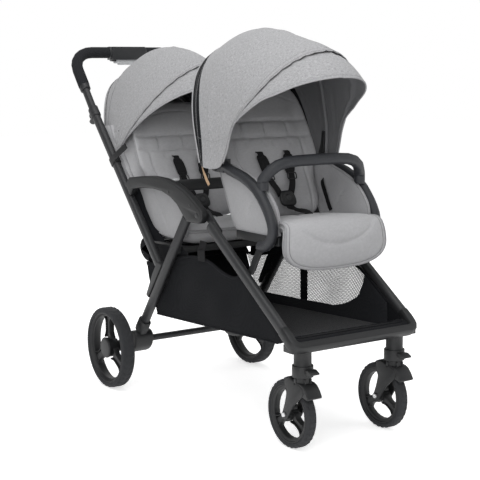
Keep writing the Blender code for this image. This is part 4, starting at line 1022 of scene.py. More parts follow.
def build_seat_tray():
    """What carries the front seat: rails, cross bars, a board under the cushion and struts to the tubes."""
    parts = [block("board", (-0.146, -0.762, 0.5395), (0.146, -0.575, 0.5475), 0.002)]
    for side in SIDES.values():
        x0, x1 = sorted((side * 0.1475, side * 0.1575))
        parts.append(block("rail", (x0, -0.764, 0.5245), (x1, -0.564, 0.5480), 0.002))
        parts.append(block("clip", (x0 - 0.001, -0.700, 0.5215), (x1 + 0.001, -0.664, 0.5300), 0.002))
        parts.append(swept("strut", lift_y([
            (0.1530, -0.690, 0.5330), (0.1600, -0.684, 0.5100), (0.1720, -0.679, 0.4800),
            (0.1810, -0.676, 0.4560), (0.1868, -0.674, 0.4440),
        ], side), oval(0.0075, 0.0240, 16, 4.0)))
    for y in (-0.592, -0.742):
        parts.append(block("cross", (-0.150, y - 0.009, 0.5265), (0.150, y + 0.009, 0.5460), 0.0015))
    tray = joined("front_seat_tray", parts)
    finish(tray, "front_frame_body", "plastic")
    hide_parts("front_seat_frame")


def build_handle():
    """Foam grips, the middle housing and the lever under it."""
    for word in SIDES:
        node = f"handle_foam_{word}"
        stands_for(refined(node, 0.0020), node, "foam", 50)
    parts = [refined("handle_housing", 0.0030, 60, 3)]
    for side in SIDES.values():
        parts.append(swept("boss", lift_y([
            (0.0640, 0.350, 1.0300), (0.0560, 0.350, 1.0225), (0.0440, 0.350, 1.0205),
        ], side), oval(0.0240, 0.0120, 16, 3.0), across=(0, 1, 0), scales=[0.7, 1.0, 0.9]))
        parts.append(swept("cuff", lift_y([
            (0.0600, 0.350, 1.0460), (0.0660, 0.350, 1.0460), (0.0700, 0.350, 1.0460),
        ], side), oval(0.0410, 0.0405, 28, 2.2), across=(0, 1, 0), scales=[1.0, 1.0, 0.94]))
    stands_for(joined("housing", parts), "handle_housing", "button_plastic", 50)
    low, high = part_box("fold_lever")
    grip = block(
        "grip", (low[0] + 0.013, low[1] - AXLE_Y + 0.001, low[2] - 0.0050),
        (high[0] - 0.013, high[1] - AXLE_Y - 0.001, low[2] + 0.0018), 0.0030, 4,
    )
    lever = joined("lever", [refined("fold_lever", 0.0020, 60, 3), grip])
    stands_for(lever, "fold_lever", "lever_plastic")
    upper = unit((0, *TUBE_JOINT), (0, *TUBE_TOP))
    length = (0.930 - TUBE_JOINT[1]) / upper.z
    for word, side in SIDES.items():
        start = Vector((side * TUBE_X, TUBE_JOINT[0] + AXLE_Y, TUBE_JOINT[1])) + upper * 0.004
        path = [start + upper * length * k / 6 for k in range(7)]
        sleeve = swept(f"upper_tube_{word}", path, oval(0.0225, 0.0262, 24, 2.3))
        finish(sleeve, "rear_frame", "paint", 50)
        band = [start + upper * (length + a) for a in (-0.014, -0.012, 0.004, 0.006)]
        section = oval(0.0330, 0.0345, 28, 2.1)
        cuff = swept(f"foam_collar_{word}", band, section, scales=[0.90, 1.0, 1.04, 0.98])
        finish(cuff, "rear_frame", "button_plastic", 50)
        knob = turned(f"knob_{word}", [
            (-0.0080, 0.0), (-0.0080, 0.0065), (-0.0060, 0.0098), (0.0060, 0.0098), (0.0080, 0.0065),
            (0.0080, 0.0),
        ], side * TUBE_X, (0.2060, 0.8410), 32)
        soft_edges(knob, 0.0012, 30, 2)
        path = lift_y([(TUBE_X, 0.186, 0.842), (TUBE_X, 0.204, 0.841)], side)
        stem = swept("stem", path, oval(0.010, 0.012, 12, 3.0))
        finish(joined(f"knob_{word}", [knob, stem]), "rear_frame", "plastic", 40)


def build_tyre(name, x, axle, radius, width, thick, waves):
    """A foam tyre: stepped sidewalls and chevron blocks cut into its tread."""
    w, inner = width / 2, radius - thick
    half = [
        (w - 0.0030, inner), (w - 0.0008, inner + 0.0015), (w, inner + 0.30 * thick),
        (w - 0.0012, inner + 0.36 * thick), (w - 0.0006, inner + 0.42 * thick),
        (w - 0.0014, inner + 0.70 * thick), (w - 0.0035, radius - 0.0022),
        (0.72 * w, radius - 0.0006), (0.50 * w, radius), (0.26 * w, radius), (0.10 * w, radius - 0.0004),
    ]
    profile = half + [(-a, r) for a, r in half[::-1]]
    obj = turned(name, profile, x, axle, 5 * waves)
    depth = sizes().tread
    for vertex in obj.data.vertices:
        across, y, z = vertex.co.x - x, vertex.co.y - axle[0] - AXLE_Y, vertex.co.z - axle[1]
        r = math.hypot(y, z)
        worn = eased((r - radius + 0.0030) / 0.0016)
        if worn:
            phase = math.atan2(z, y) * waves + 5.0 * abs(across) / w
            cut = depth * worn * eased((math.sin(phase) - 0.05) / 0.5) * eased((abs(across) / w - 0.06) / 0.2)
            vertex.co.y, vertex.co.z = axle[0] + AXLE_Y + y * (1 - cut / r), axle[1] + z * (1 - cut / r)
    return obj


def build_rim(node, x, side, axle, radius, hub, half, wide):
    """A rim: a deep channel, a hub with its cap, and three spokes with raised, flaring edges."""
    parts = [refined(node, 0.0008)]
    middle = Vector((x + side * 0.0010, axle[0] + AXLE_Y, axle[1]))
    parts.append(turned("channel", [
        (-half, radius), (half, radius), (half, radius - 0.0022), (half - 0.0035, radius - 0.0048),
        (0.0050, radius - 0.0085), (-0.0050, radius - 0.0085), (0.0035 - half, radius - 0.0048),
        (-half, radius - 0.0022),
    ], x, axle, 72))
    parts.append(turned("barrel", mirrored([
        (-half, 0.62 * hub), (-half, 0.80 * hub), (-0.6 * half, 0.93 * hub), (half - 0.003, 0.93 * hub),
        (half - 0.003, 0.62 * hub),
    ], side), x, axle, 48))
    for k in range(3):
        turn = math.radians(90 + 120 * k)
        along = Vector((0, math.cos(turn), math.sin(turn)))
        aside = Vector((0, -along.z, along.y))
        for edge in (-1, 1):
            line = []
            for i in range(13):
                r = hub - 0.003 + (radius - 0.003 - hub) * i / 12
                flare = 0.5 + groove(r - hub, 0.010, 0.35) + groove(radius - 0.004 - r, 0.012, 0.75)
                out = wide * flare
                line.append(middle + along * r + aside * out * edge)
            parts.append(swept("rib", line, oval(min(2 * half - 0.008, 0.018), 0.0032, 10, 3.0)))
            inset = aside * edge * 0.25 * wide + Vector((side * 0.002, 0, 0))
            parts.append(swept("web", [p - inset for p in line], oval(0.0050, 0.55 * wide, 10, 5.0)))
    if hub > 0.025:
        parts.append(turned("cap", mirrored([
            (-0.0100, 0.0290), (-0.0040, 0.0322), (-0.0012, 0.0318), (0.0002, 0.0290), (-0.0002, 0.0270),
            (-0.0060, 0.0265),
        ], side), x + side * (half + 0.0005), axle, 48))
    return joined("rim", parts)


def build_wheels():
    """Tyres and rims, behind and in front, and the front axle's bolts."""
    wheels = {
        # x, axle, tyre: radius, width, thickness, blocks; rim: radius, hub, half width, spoke
        "rear": (REAR_WHEEL_X, REAR_WHEEL, (0.126, 0.045, 0.016, 36), (0.1094, 0.0325, 0.0190, 0.024)),
        "front": (FRONT_WHEEL_X, FRONT_WHEEL, (0.0915, 0.032, 0.014, 32), (0.0769, 0.0170, 0.0135, 0.018)),
    }
    for word, side in SIDES.items():
        for place, (x, axle, tyre, rim) in wheels.items():
            node = f"{place}_tyre_{word}"
            stands_for(build_tyre(node, side * x, axle, *tyre), node, "rubber", 50)
        for place, (x, axle, tyre, rim) in wheels.items():
            node = f"{place}_rim_{word}"
            obj = build_rim(node, side * x, side, axle, *rim)
            stands_for(obj, node, "plastic", 40)
        node = f"axle_bolt_{word}"
        stands_for(refined(node, 0.0006), node, "steel")


def build_bars():
    """The leatherette bumper bar and the arms beside the front seat."""
    for node in ("bumper_bar", "front_arm_right", "front_arm_left"):
        stands_for(refined(node, 0.0016), node, "leatherette")


def tightened(value):
    """A value from -1 to 1, moved towards its end, so that rows lie closer together near an edge."""
    return 1.5 * value - 0.5 * value ** 3


def pad_piece(name, place, front, back, columns, rows, corner, rim=(0.0, 0.0), *, power):
    """A stuffed pad: place(a, b, depth) puts a point of its rounded outline, front and back give its loft."""
    def value(i, count):
        return tightened(-1 + 2 * i / count)

    grid = []
    for j in range(rows + 1):
        w = value(j, rows)
        faces = ([], [])
        for i in range(columns + 1):
            u = value(i, columns)
            m = max(abs(u), abs(w))
            k = m / max(1e-9, (abs(u) ** corner + abs(w) ** corner) ** (1 / corner))
            a, b = u * k, w * k
            full = math.sqrt(max(0.0, 1 - m ** power))
            faces[0].append(place(a, b, rim[0] + full * front(a, b)))
            faces[1].append(place(a, b, -rim[1] - full * back(a, b)))
        grid.append(faces[0] + faces[1][::-1])
    obj = grid_piece(name, grid, wrap=True, caps=any(rim))
    outward(obj, 1e-5)
    return obj


def rim_path(place, depth, count, corner, grow=1.0):
    """The outline of a pad, at a depth from its seam."""
    points = []
    for i in range(count):
        t = 2 * math.pi * i / count
        c, s = math.cos(t), math.sin(t)
        k = grow / (abs(c) ** corner + abs(s) ** corner) ** (1 / corner)
        points.append(place(c * k, s * k, depth))
    return points


def piping(name, path, radius, body, cloth="edge_cloth", sides=8, loop=True):
    """A cord sewn into an edge of the padding."""
    return finish(piped(name, path, radius, sides, loop), body, cloth, 60, "pad_grey")


def groove(distance, width, depth):
    """A bell of the given depth about a line at that distance."""
    return depth * math.exp(-((distance / width) ** 2))


def crumple(place, size, depth, seed=0.0):
    """Soft unevenness of stuffed cloth."""
    return depth * noise.noise(Vector((place[0] / size + seed, place[1] / size, place[2] / size)))


def back_width(seat, s):
    """Half a back's width at s up from the crease: narrow between the seat's sides, full above them."""
    low = seat["half"] - 0.0160
    return low + (seat["back_half"] - low) * eased((s - 0.135) / 0.05)


def back_place(seat):
    """Where the points of a seat back's pad are: its outline, its wings and its lean."""
    length = math.dist(seat["crease"], seat["top"])

    def place(a, b, depth):
        v = 0.5 * (b + 1)
        s = 0.004 + v * (length - 0.006)
        width = back_width(seat, s) * (1 - 0.16 * max(0.0, (v - 0.5) / 0.5) ** 2)
        wing = 0.024 * max(0.0, (abs(a) - 0.70) / 0.30) ** 2 * eased((v - 0.22) / 0.2)
        point = on_back(seat, width * a, s, 0.003 + depth + wing)
        if depth > 0.004:
            point += Vector((0, -1, 0)) * crumple(point, 0.045, 0.0016 + 0.0020 * eased((0.46 - v) / 0.2))
        return point

    return place


def build_back(word):
    """A seat's back: quilted across the head, pleated below, piped round its edge."""
    seat = SEATS[word]
    length = math.dist(seat["crease"], seat["top"])
    place = back_place(seat)

    def front(a, b):
        v = 0.5 * (b + 1)
        depth = 0.0245 + 0.0085 * (1 - a * a) * (1 - b * b)
        for level in (0.565, 0.685):
            near = (v - level) * length
            depth -= groove(near, 0.0045, 0.0055) + groove(near, 0.016, 0.0022)
        above = eased((v - 0.565) * length / 0.006)
        for column in (-0.51, 0.0, 0.51):
            near = abs(a - column - (0.05 * (v - 0.6) if column else 0)) * seat["back_half"]
            upper = above * eased((0.685 - v) * length / 0.006 + 1)
            depth -= upper * (groove(near, 0.0042, 0.0048) + groove(near, 0.015, 0.0020))
        side = abs(abs(a) - 0.74) * seat["back_half"]
        depth -= eased((0.565 - v) * length / 0.01) * groove(side, 0.0045, 0.0045)
        hump = abs(math.hypot((abs(a) - 0.28) * seat["back_half"] / 0.030, (v - 0.50) * length / 0.026) - 1.0)
        if v > 0.49:
            depth -= groove(hump * 0.026, 0.0035, 0.0026)
        arch = (v - 0.90 + 0.10 * a * a) * length
        depth -= groove(arch, 0.0035, 0.0016)
        return depth

    obj = pad_piece(
        f"{word}_seat_back_pad", place, front, lambda a, b: 0.0140, 84, 124, 7.0, power=8.0,
    )
    body = BODY_OF[f"{word}_seat_back"]
    finish(obj, body, "seat_cloth", 60)
    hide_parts(f"{word}_seat_back")
    piping(f"{word}_seat_back_piping", rim_path(place, 0.0, 200, 7.0), sizes().piping, body)


def build_base(word):
    """A seat's base pad with its gusset, piping and the sewn slot of the crotch strap."""
    seat = SEATS[word]
    inner = seat["half"] - 0.0105
    seam = seat["low"] + 0.62 * (seat["high"] - seat["low"])

    def top_z(a, share):
        crown = 0.007 * (1 - a * a) * math.sin(math.pi * min(1.0, max(0.0, share)))
        drop = 0.010 * max(0.0, (share - 0.88) / 0.12) ** 2
        return seat["high"] - 0.008 * max(0.0, 1 - share / 0.12) + crown + seat["rise"] * share - drop

    def place(a, b, depth):
        share = 0.5 * (1 - b)
        corner = max(0.0, (share - 0.84) / 0.16)
        x = inner * (1 - 0.035 * corner * corner) * a
        y = seat["crease"][0] - 0.003 - (seat["depth"] - 0.001) * share
        z = seam + seat["rise"] * share * (0.8 if depth > -0.004 else 0.2) + depth
        point = Vector((x, y + AXLE_Y, z))
        if depth > 0.006:
            point.z += crumple(point, 0.040, 0.0018, 3.0)
        return point

    def front(a, b):
        share = 0.5 * (1 - b)
        depth = top_z(a, share) - seam - seat["rise"] * share * 0.8 - 0.004
        slot = math.hypot(a * inner / 0.030, (share - 0.55) * seat["depth"] / 0.040)
        depth -= groove((slot - 1) * 0.03, 0.0045, 0.0030)
        depth -= groove((abs(a) - 0.62) * inner, 0.0045, 0.0030) * (share < 0.86)
        return depth

    obj = pad_piece(
        f"{word}_seat_base_pad", place, front, lambda a, b: seam - seat["low"] - 0.0045, 84, 64, 9.0,
        rim=(0.004, 0.004), power=10.0,
    )
    body = BODY_OF[f"{word}_seat_bucket"]
    finish(obj, body, "seat_cloth", 55)
    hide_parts(f"{word}_seat_bucket")
    for k, depth in enumerate((0.0035, -0.0035)):
        piping(f"{word}_seat_base_piping_{k}", rim_path(place, depth, 180, 9.0), 0.0018, body)


def build_sides(word):
    """The padded cloth sides of a seat, piped round and seamed down their middle."""
    seat = SEATS[word]
    crease = seat["crease"]
    outline = smooth_loop([(crease[0] + a, crease[1] + b) for a, b in seat["wall"]], 7)
    centre = sum(outline, Vector((0, 0, 0))) / len(outline)
    body = BODY_OF[f"{word}_seat_bucket"]
    for side_word, side in SIDES.items():
        middle = seat["half"] - 0.0050
        rows = []
        # From the middle of the outer face, over the edge, to the middle of the inner face.
        for m, face in [(m / 14, 1) for m in range(15)] + [(1 - m / 14, -1) for m in range(1, 15)]:
            m = tightened(m)
            full = math.sqrt(max(0.0, 1 - m ** 5))
            line = []
            for p in outline:
                spot = centre.lerp(p, max(m, 1e-4))
                x = middle + face * (0.0012 + full * (0.0050 if face > 0 else 0.0034))
                y, z = spot.x - crease[0], spot.y - crease[1]
                for (y0, z0), (y1, z1) in seat["seams"]:
                    seam = ((y - y0) * (z1 - z0) - (z - z0) * (y1 - y0)) / math.hypot(y1 - y0, z1 - z0)
                    inside = eased((z - min(z0, z1)) / 0.01 + 0.5) * eased((max(z0, z1) - z) / 0.01 + 0.5)
                    x -= face * groove(seam, 0.0032, 0.0026) * full * inside
                fold = crumple((spot.x, spot.y, side), 0.050, 0.0030, 7.0)
                line.append(Vector((side * (x + full * fold), spot.x + AXLE_Y, spot.y)))
            rows.append(line)
        name = f"{word}_seat_side_{side_word}"
        obj = grid_piece(name, rows, wrap=True)
        outward(obj, 3e-5)
        finish(obj, body, "seat_cloth", 60)
        for k, x in enumerate((middle + 0.0030, middle - 0.0030)):
            path = [Vector((side * x, p.x + AXLE_Y, p.y)) for p in outline]
            piping(f"{name}_piping_{k}", path, 0.0019, body)


def build_calf_rest():
    """The calf rest: one pad with the seat's front edge, with a sewn arc and a gusset round it."""
    line = curved([
        (0, -0.722, 0.5785), (0, -0.752, 0.5815), (0, -0.780, 0.5805), (0, -0.7965, 0.5720),
        (0, -0.8045, 0.5520), (0, -0.8080, 0.5200), (0, -0.8090, 0.4930), (0, -0.8070, 0.4610),
    ], 8)
    lengths = run_lengths(line)
    start, total = lengths[0], lengths[-1] - lengths[0]
    widths = [(0, 0.146), (0.2, 0.151), (0.4, 0.157), (0.6, 0.1640), (0.8, 0.1665), (1, 0.160)]

    def place(a, b, depth):
        share = min(1.0, max(0.0, 0.5 * (1 - b)))
        at = start + share * total
        k = min(max(i for i in range(len(line)) if lengths[i] <= at + 1e-9), len(line) - 2)
        t = (at - lengths[k]) / (lengths[k + 1] - lengths[k])
        point = line[k].lerp(line[k + 1], t)
        tangent = (line[min(k + 2, len(line) - 1)] - line[max(k - 1, 0)]).normalized()
        out = Vector((0, tangent.z, -tangent.y))
        point = point + out * (depth - 0.005 * abs(a) ** 3)
        point = Vector((through(widths, share) * a, point.y + AXLE_Y, point.z + 0.012 * a * a * share))
        if depth > 0.005:
            point.y += crumple(point, 0.06, 0.0014, 5.0)
        return point

    hem = 0.945

    def front(a, b):
        share = 0.5 * (1 - b)
        loft = 0.0115 * (1 - 0.5 * a * a) * (0.35 + 0.65 * math.sin(math.pi * min(1.0, 0.12 + 0.80 * share)))
        arc = math.hypot(a / 0.90, (share - 0.16) / 0.50) - 1
        edge = (abs(a) ** 5 + abs(b) ** 5) ** 0.2 - hem
        loft -= groove(arc * 0.09, 0.0032, 0.0028) + groove(arc * 0.09, 0.012, 0.0010)
        return loft - groove(edge * 0.16, 0.0030, 0.0030)

    obj = pad_piece(
        "calf_rest_pad", place, front, lambda a, b: 0.0035, 96, 72, 5.0, rim=(0.005, 0.005), power=6.0
    )
    finish(obj, None, "seat_cloth", 60)
    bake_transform(obj)
    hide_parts("calf_rest")
    for k, (depth, radius, cloth) in enumerate((
        (0.0058, sizes().piping * 1.15, "edge_cloth"), (0.0024, sizes().piping * 0.7, "thread_cloth"),
        (-0.0058, sizes().piping * 1.15, "edge_cloth"),
    )):
        path = rim_path(place, depth, 200, 5.0, 1.006 if k != 1 else 1.002)
        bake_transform(piping(f"calf_rest_piping_{k}", path, radius, None, cloth))
    path = []
    for i in range(200):
        c, s = math.cos(math.pi * i / 100), math.sin(math.pi * i / 100)
        k = hem / (abs(c) ** 5 + abs(s) ** 5) ** 0.2
        path.append(place(c * k, s * k, 0.0052 + math.sqrt(1 - hem ** 6) * front(c * k, s * k)))
    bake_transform(piping("calf_rest_hem", path, 0.0011, None, "thread_cloth", 6))


def tube_y(z):
    """Where the push tube's middle is at a height."""
    return -0.216 + (z - 0.41) * 0.413 / 0.450


def build_wings():
    """Cloth from the rear seat's back and side to the push tube: a light wing above, black trim below."""
    seat = SEATS["rear"]
    length = math.dist(seat["crease"], seat["top"])
    for word, side in SIDES.items():
        name = f"rear_wing_{word}"

        def point(u, v, side=side):
            z, s = 0.615 + 0.195 * v, 0.100 + 0.235 * v
            outer = Vector((side * 0.1915, tube_y(z) - 0.004 + AXLE_Y, z))
            narrow = 1 - 0.16 * max(0.0, (s / length - 0.5) / 0.5) ** 2
            inner = on_back(seat, side * 0.90 * back_width(seat, s) * narrow, s, 0.002)
            spot = outer.lerp(inner, u)
            spot.x += side * (0.007 + 0.0015 * math.sin(23 * v + 4 * u)) * math.sin(math.pi * u)
            return spot

        rows = rows_of(40, 12, point)
        obj = grid_piece(name, rows)
        modify(obj, "SOLIDIFY", thickness=0.0022, offset=0)
        finish(obj, None, "seat_cloth", 60)
        # A bend from the tube's edge to the pad's, measured square to the back, is worked out but not used.
        across = Vector((0, -0.737, 0.676))
        start, reach = rows[20][1], max(0.012, (rows[6][11] - rows[6][1]).dot(across))
        bend = ("rear_frame", "rear_backrest", tuple(start), tuple(start + across * reach))
        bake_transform(obj)
        for k, column in enumerate((3, 6)):
            path = [row[column] + Vector((side * 0.0014, 0, 0)) for row in rows]
            cord = piping(f"{name}_piping_{k}", path, 0.0019, None, loop=False)
            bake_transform(cord)
        declare_sheet(obj, rows, [f"push_tube_{word}_look", "rear_seat_back_pad"])
        build_side_trim(seat, word, side)


def build_side_trim(seat, word, side):
    """The black cloth between the push tube and the rear seat's side."""
    wall = smooth_loop([(seat["crease"][0] + a, seat["crease"][1] + b) for a, b in seat["wall"]], 7)
    edge = sorted((p for p in wall if p.x > seat["crease"][0] - 0.060), key=lambda p: p.y)
    # Each row: its height, its y at the seat, how far it is set back on the tube, and its slack.
    spans = [(0.474, -0.200, 0.0, 0.0), (0.487, -0.180, 0.0, 0.0)]
    spans += [(p.y, p.x - 0.010, 0.003, 0.003) for p in edge if 0.500 < p.y < 0.640]
    rows = []
    for z, y, gap, slack in spans:
        outer = Vector((side * 0.1930, tube_y(z) - gap + AXLE_Y, z))
        inner = Vector((side * 0.1720, y + AXLE_Y, z))
        line = [outer.lerp(inner, i / 5) for i in range(6)]
        for i, point in enumerate(line):
            point.x += side * slack * math.sin(math.pi * i / 5)
        rows.append(line)
    trim = grid_piece(f"rear_side_trim_{word}", rows)
    modify(trim, "SOLIDIFY", thickness=0.0020, offset=0)
    finish(trim, "rear_frame", "nylon_cloth", 60, "pad_grey")
    declare_sheet(trim, rows, [f"push_tube_{word}_look", f"rear_seat_side_{word}"])


def build_seats():
    for word in SEATS:
        build_back(word)
        build_base(word)
        build_sides(word)
    build_calf_rest()
    build_wings()


def build_harness():
    """Both seats' straps and buckles, and the front seat's lap straps."""
    for word, seat in SEATS.items():
        body = BODY_OF[f"{word}_seat_bucket"]
        for side_word in SIDES:
            build_shoulder_strap(word, seat, side_word)
        if word == "front":
            for side_word, side in SIDES.items():
                path = curved(lift_y([
                    (0.1470, -0.552, 0.668), (0.1405, -0.562, 0.655), (0.1400, -0.580, 0.622),
                    (0.1410, -0.592, 0.596), (0.1430, -0.598, 0.584),
                ], side), 4)
                lap = swept(f"lap_strap_{side_word}", path, flat(0.0008, 0.0075))
                finish(lap, body, "webbing", 60)
        build_buckle(word, seat, body)
        build_crotch_strap(word, seat, body)


def build_shoulder_strap(word, seat, side_word):
    """A shoulder pad, its strap and the strap's slider."""
    name, side, body = f"{word}_harness_{side_word}", SIDES[side_word], BODY_OF[f"{word}_seat_back"]
    slide = -0.013 if word == "front" else 0.0

    def spot(x, s, out=0.0):
        return on_back(seat, side * x, s + slide * eased((s - 0.065) / 0.05), HARNESS_LIFT + out)

    def place(a, b, depth):
        x = 0.042 + 0.0175 * a + 0.004 * b
        return spot(x, 0.160 + 0.030 * b, depth + 0.0025 * math.cos(1.4 * b) - 0.001)

    def quilt(a, b):
        return 0.0050 - groove(abs(b) - 0.62, 0.05, 0.0022) - groove(abs(a) - 0.72, 0.06, 0.0014)

    def slider_place(a, b, depth):
        return spot(0.0385 + 0.0150 * a + 0.001 * b, 0.1210 + 0.0095 * b, 0.0035 + depth)

    pad = pad_piece(f"{name}_pad", place, quilt, lambda a, b: 0.0030, 28, 44, 4.0, power=5.0)
    finish(pad, body, "webbing", 60)
    path = curved([spot(*p) for p in (
        (0.047, 0.208, -0.014), (0.0465, 0.199, -0.004), (0.046, 0.191, 0.001), (0.0400, 0.126, 0.0015),
        (0.0330, 0.096, 0.0045), (0.0240, 0.068, 0.0050), (0.0170, 0.052, 0.0015),
    )], 5)
    strap = swept(f"{name}_strap", path, flat(0.0095, 0.0008))
    modify(strap, "BEVEL", width=0.0003, segments=2)
    finish(strap, body, "webbing", 60)
    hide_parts(name)
    parts = [piped("ring", rim_path(slider_place, 0.0, 48, 5.0), 0.0018, 8, True)]
    for s in (0.1165, 0.1245):
        ends = [spot(x, s, 0.0045) for x in (0.0245, 0.0525)]
        parts.append(swept("rung", ends, oval(0.0030, 0.0026, 8)))
    finish(joined(f"{name}_slider", parts), body, "plastic", 50)


def build_buckle(word, seat, body):
    """The buckle's case, with its ring and edges pressed in, and its button."""
    middle = HARNESS_LIFT + 0.008

    def shell(a, b, depth):
        narrow = 1 - 0.14 * b * b - 0.08 * b
        return on_back(seat, 0.0262 * a * narrow, 0.0405 + 0.0235 * b, middle + depth)

    def face(a, b):
        ring = math.hypot(a * 0.0262, b * 0.0235) - 0.0118
        return 0.0072 - groove(ring, 0.0016, 0.0016) - groove(abs(a) * 0.0262 - 0.0185, 0.0012, 0.0010)

    def button_place(a, b, depth):
        return on_back(seat, 0.0092 * a, 0.0405 + 0.0092 * b, middle + 0.0052 + depth)

    def dish(a, b):
        return 0.0036 - 0.0012 * (1 - a * a) * (1 - b * b)

    case = pad_piece(f"{word}_buckle_case", shell, face, lambda a, b: 0.0072, 48, 48, 3.6, power=4.0)
    finish(case, body, "plastic", 50)
    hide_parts(f"{word}_buckle")
    node = f"{word}_buckle_button"
    button = pad_piece(f"{word}_button_cap", button_place, dish, lambda a, b: 0.0030, 24, 24, 2.0, power=4.0)
    finish(button, BODY_OF[node], "button_plastic", 50)
    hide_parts(node)


def build_crotch_strap(word, seat, body):
    """The strap between the legs, up to the buckle, and its pad."""
    y, top = seat["crease"][0], seat["high"] + 0.5 * seat["rise"] + 0.010
    path = curved(lift_y([
        (0, y - 0.132, top - 0.010), (0, y - 0.124, top + 0.0005), (0, y - 0.105, top + 0.0035),
        (0, y - 0.080, top + 0.0060),
    ]) + [
        on_back(seat, 0.0, 0.012, HARNESS_LIFT + 0.012), on_back(seat, 0.0, 0.034, HARNESS_LIFT + 0.007),
    ], 6)
    strap = swept(f"{word}_crotch_strap", path, flat(0.0125, 0.0011))
    modify(strap, "BEVEL", width=0.0004, segments=2)
    finish(strap, body, "webbing", 60)

    def place(a, b, depth):
        share = 0.5 * (b + 1)
        return Vector((0.0165 * a, y - 0.118 + 0.046 * share + AXLE_Y, top + 0.0028 + 0.0030 * share + depth))

    def quilt(a, b):
        return 0.0042 - groove(abs(a) - 0.7, 0.07, 0.0014)

    pad = pad_piece(f"{word}_crotch_pad", place, quilt, lambda a, b: 0.0030, 28, 32, 4.0, power=5.0)
    finish(pad, body, "webbing", 60)


def eased(value):
    """0 to 1 with a soft start and end."""
    value = min(1.0, max(0.0, value))
    return value * value * (3 - 2 * value)


def through(knots, value, column=1):
    """A smooth curve through knots of (place, value, ...), read at a place."""
    value = min(max(value, knots[0][0]), knots[-1][0])
    k = max(i for i in range(len(knots) - 1) if knots[i][0] <= value)
    before, a, b, after = (knots[min(max(i, 0), len(knots) - 1)] for i in range(k - 1, k + 3))
    reach = b[0] - a[0]
    slope_a = (b[column] - before[column]) / (b[0] - before[0]) * reach
    slope_b = (after[column] - a[column]) / (after[0] - a[0]) * reach
    t = (value - a[0]) / reach
    return (
        (2 * t ** 3 - 3 * t ** 2 + 1) * a[column] + (t ** 3 - 2 * t ** 2 + t) * slope_a
        + (3 * t ** 2 - 2 * t ** 3) * b[column] + (t ** 3 - t ** 2) * slope_b
    )


def hood_edge(shape, edge, t):
    """The angle of an edge of the hood at t, which runs from 0 at one pivot to pi at the other."""
    return through(shape[edge], abs(math.sin(t)))


def hood_folds(shape, t, degrees):
    """Creases that fan from the pivots, ridges over the bows and slow waves of slack cloth."""
    lift = abs(math.sin(t))
    phase = shape["phase"] + (0.0 if math.cos(t) > 0 else 1.7)
    fan = math.sin(0.36 * degrees + phase + 1.3 * lift) + 0.6 * math.sin(0.71 * degrees - phase + 2.4 * lift)
    fan *= 0.0036 * eased(lift / 0.12) * math.exp(-(((lift - 0.30) / 0.30) ** 2))
    slack = 0.0026 * math.sin(4.2 * t + 0.11 * degrees + phase) * math.sin(0.052 * degrees + phase)
    ridges = sum(math.exp(-(((degrees - bow) / 2.4) ** 2)) for bow in shape["bows"])
    hollow = sum(math.exp(-(((degrees - bow) / 9.0) ** 2)) for bow in shape["bows"])
    return fan + slack * lift + (0.0030 * ridges - 0.0014 * hollow) * lift ** 0.5


def hood_point(shape, t, degrees, proud=0.0):
    """A point of the hood's cloth, proud of its smooth surface by a distance.

    The cloth runs from the foot, a rounded flap over the pivot, up to the dome."""
    pivot = shape["pivot"]
    lift = abs(math.sin(t))
    turn = math.radians(degrees)
    folds = hood_folds(shape, t, degrees)
    low, high = hood_edge(shape, "back", t), hood_edge(shape, "brim", t)
    share = min(1.0, max(0.0, (degrees - low) / (high - low)))
    rise = lift ** (2 / shape["upward"])
    foot = [through(shape["foot"], share, k) * (1 - rise) for k in (1, 2)]
    half = CANOPY_HALF + min(proud, 0.002) + shape["swell"] * math.exp(-rise / 0.11)
    x = half * math.copysign(abs(math.cos(t)) ** (2 / shape["across"]), math.cos(t))
    x += math.copysign(0.5 * folds * (1 - lift), math.cos(t))
    r = (through(shape["radii"], degrees) + proud + folds) * rise
    return Vector((
        x, pivot[0] + AXLE_Y + foot[0] + r * math.cos(turn), pivot[1] + foot[1] + r * math.sin(turn)
    ))


def hood_spread(columns):
    """Values of t, closer together towards the pivots."""
    return [math.pi * (i / columns - 0.035 * math.sin(4 * math.pi * i / columns)) for i in range(columns + 1)]


def zip_width(t):
    """The angle that the zip's tape takes up behind the hood's cloth."""
    return 4.6 + 8.0 * (1 - abs(math.sin(t))) ** 1.4


def hood_line(shape, edge, proud, shift, columns=120):
    """A line across the hood along one of its edges, shifted by degrees."""
    angles = [(t, hood_edge(shape, edge, t) + shift) for t in hood_spread(columns)]
    return [hood_point(shape, t, degrees, proud) for t, degrees in angles]


def hood_sheet(name, shape, start, end, rows, proud):
    """A lined sheet of the hood between two edges; proud(s, t) lifts it off the smooth surface."""
    grid = [
        [
            hood_point(shape, t, start(t) + (end(t) - start(t)) * s, proud(s, t))
            for t in hood_spread(84)
        ]
        for s in (j / rows for j in range(rows + 1))
    ]
    obj = grid_piece(name, grid)
    obj.data.materials.append(look("canopy_cloth"))
    obj.data.materials.append(look("lining_cloth"))
    modify(obj, "SOLIDIFY", thickness=sizes().cloth, offset=-1, material_offset=1, material_offset_rim=0)
    smooth_shade(obj, 60)
    return obj, grid


def thread_line(name, path):
    """A sewn line: a thin thread that rises and sinks at each stitch."""
    spaced = evenly(path, sizes().stitch / 2)
    scales = [1.15 if i % 2 else 0.55 for i in range(len(spaced))]
    return swept(name, spaced, oval(0.0008, 0.0008, 5), scales=scales)


def evenly(path, pitch):
    """The points of a path at an even pitch."""
    path = [Vector(p) for p in path]
    points, carried = [path[0]], 0.0
    for a, b in zip(path, path[1:]):
        length = (b - a).length
        at = pitch - carried
        while at <= length and length > 0:
            points.append(a.lerp(b, at / length))
            at += pitch
        carried = length - (at - pitch)
    return points


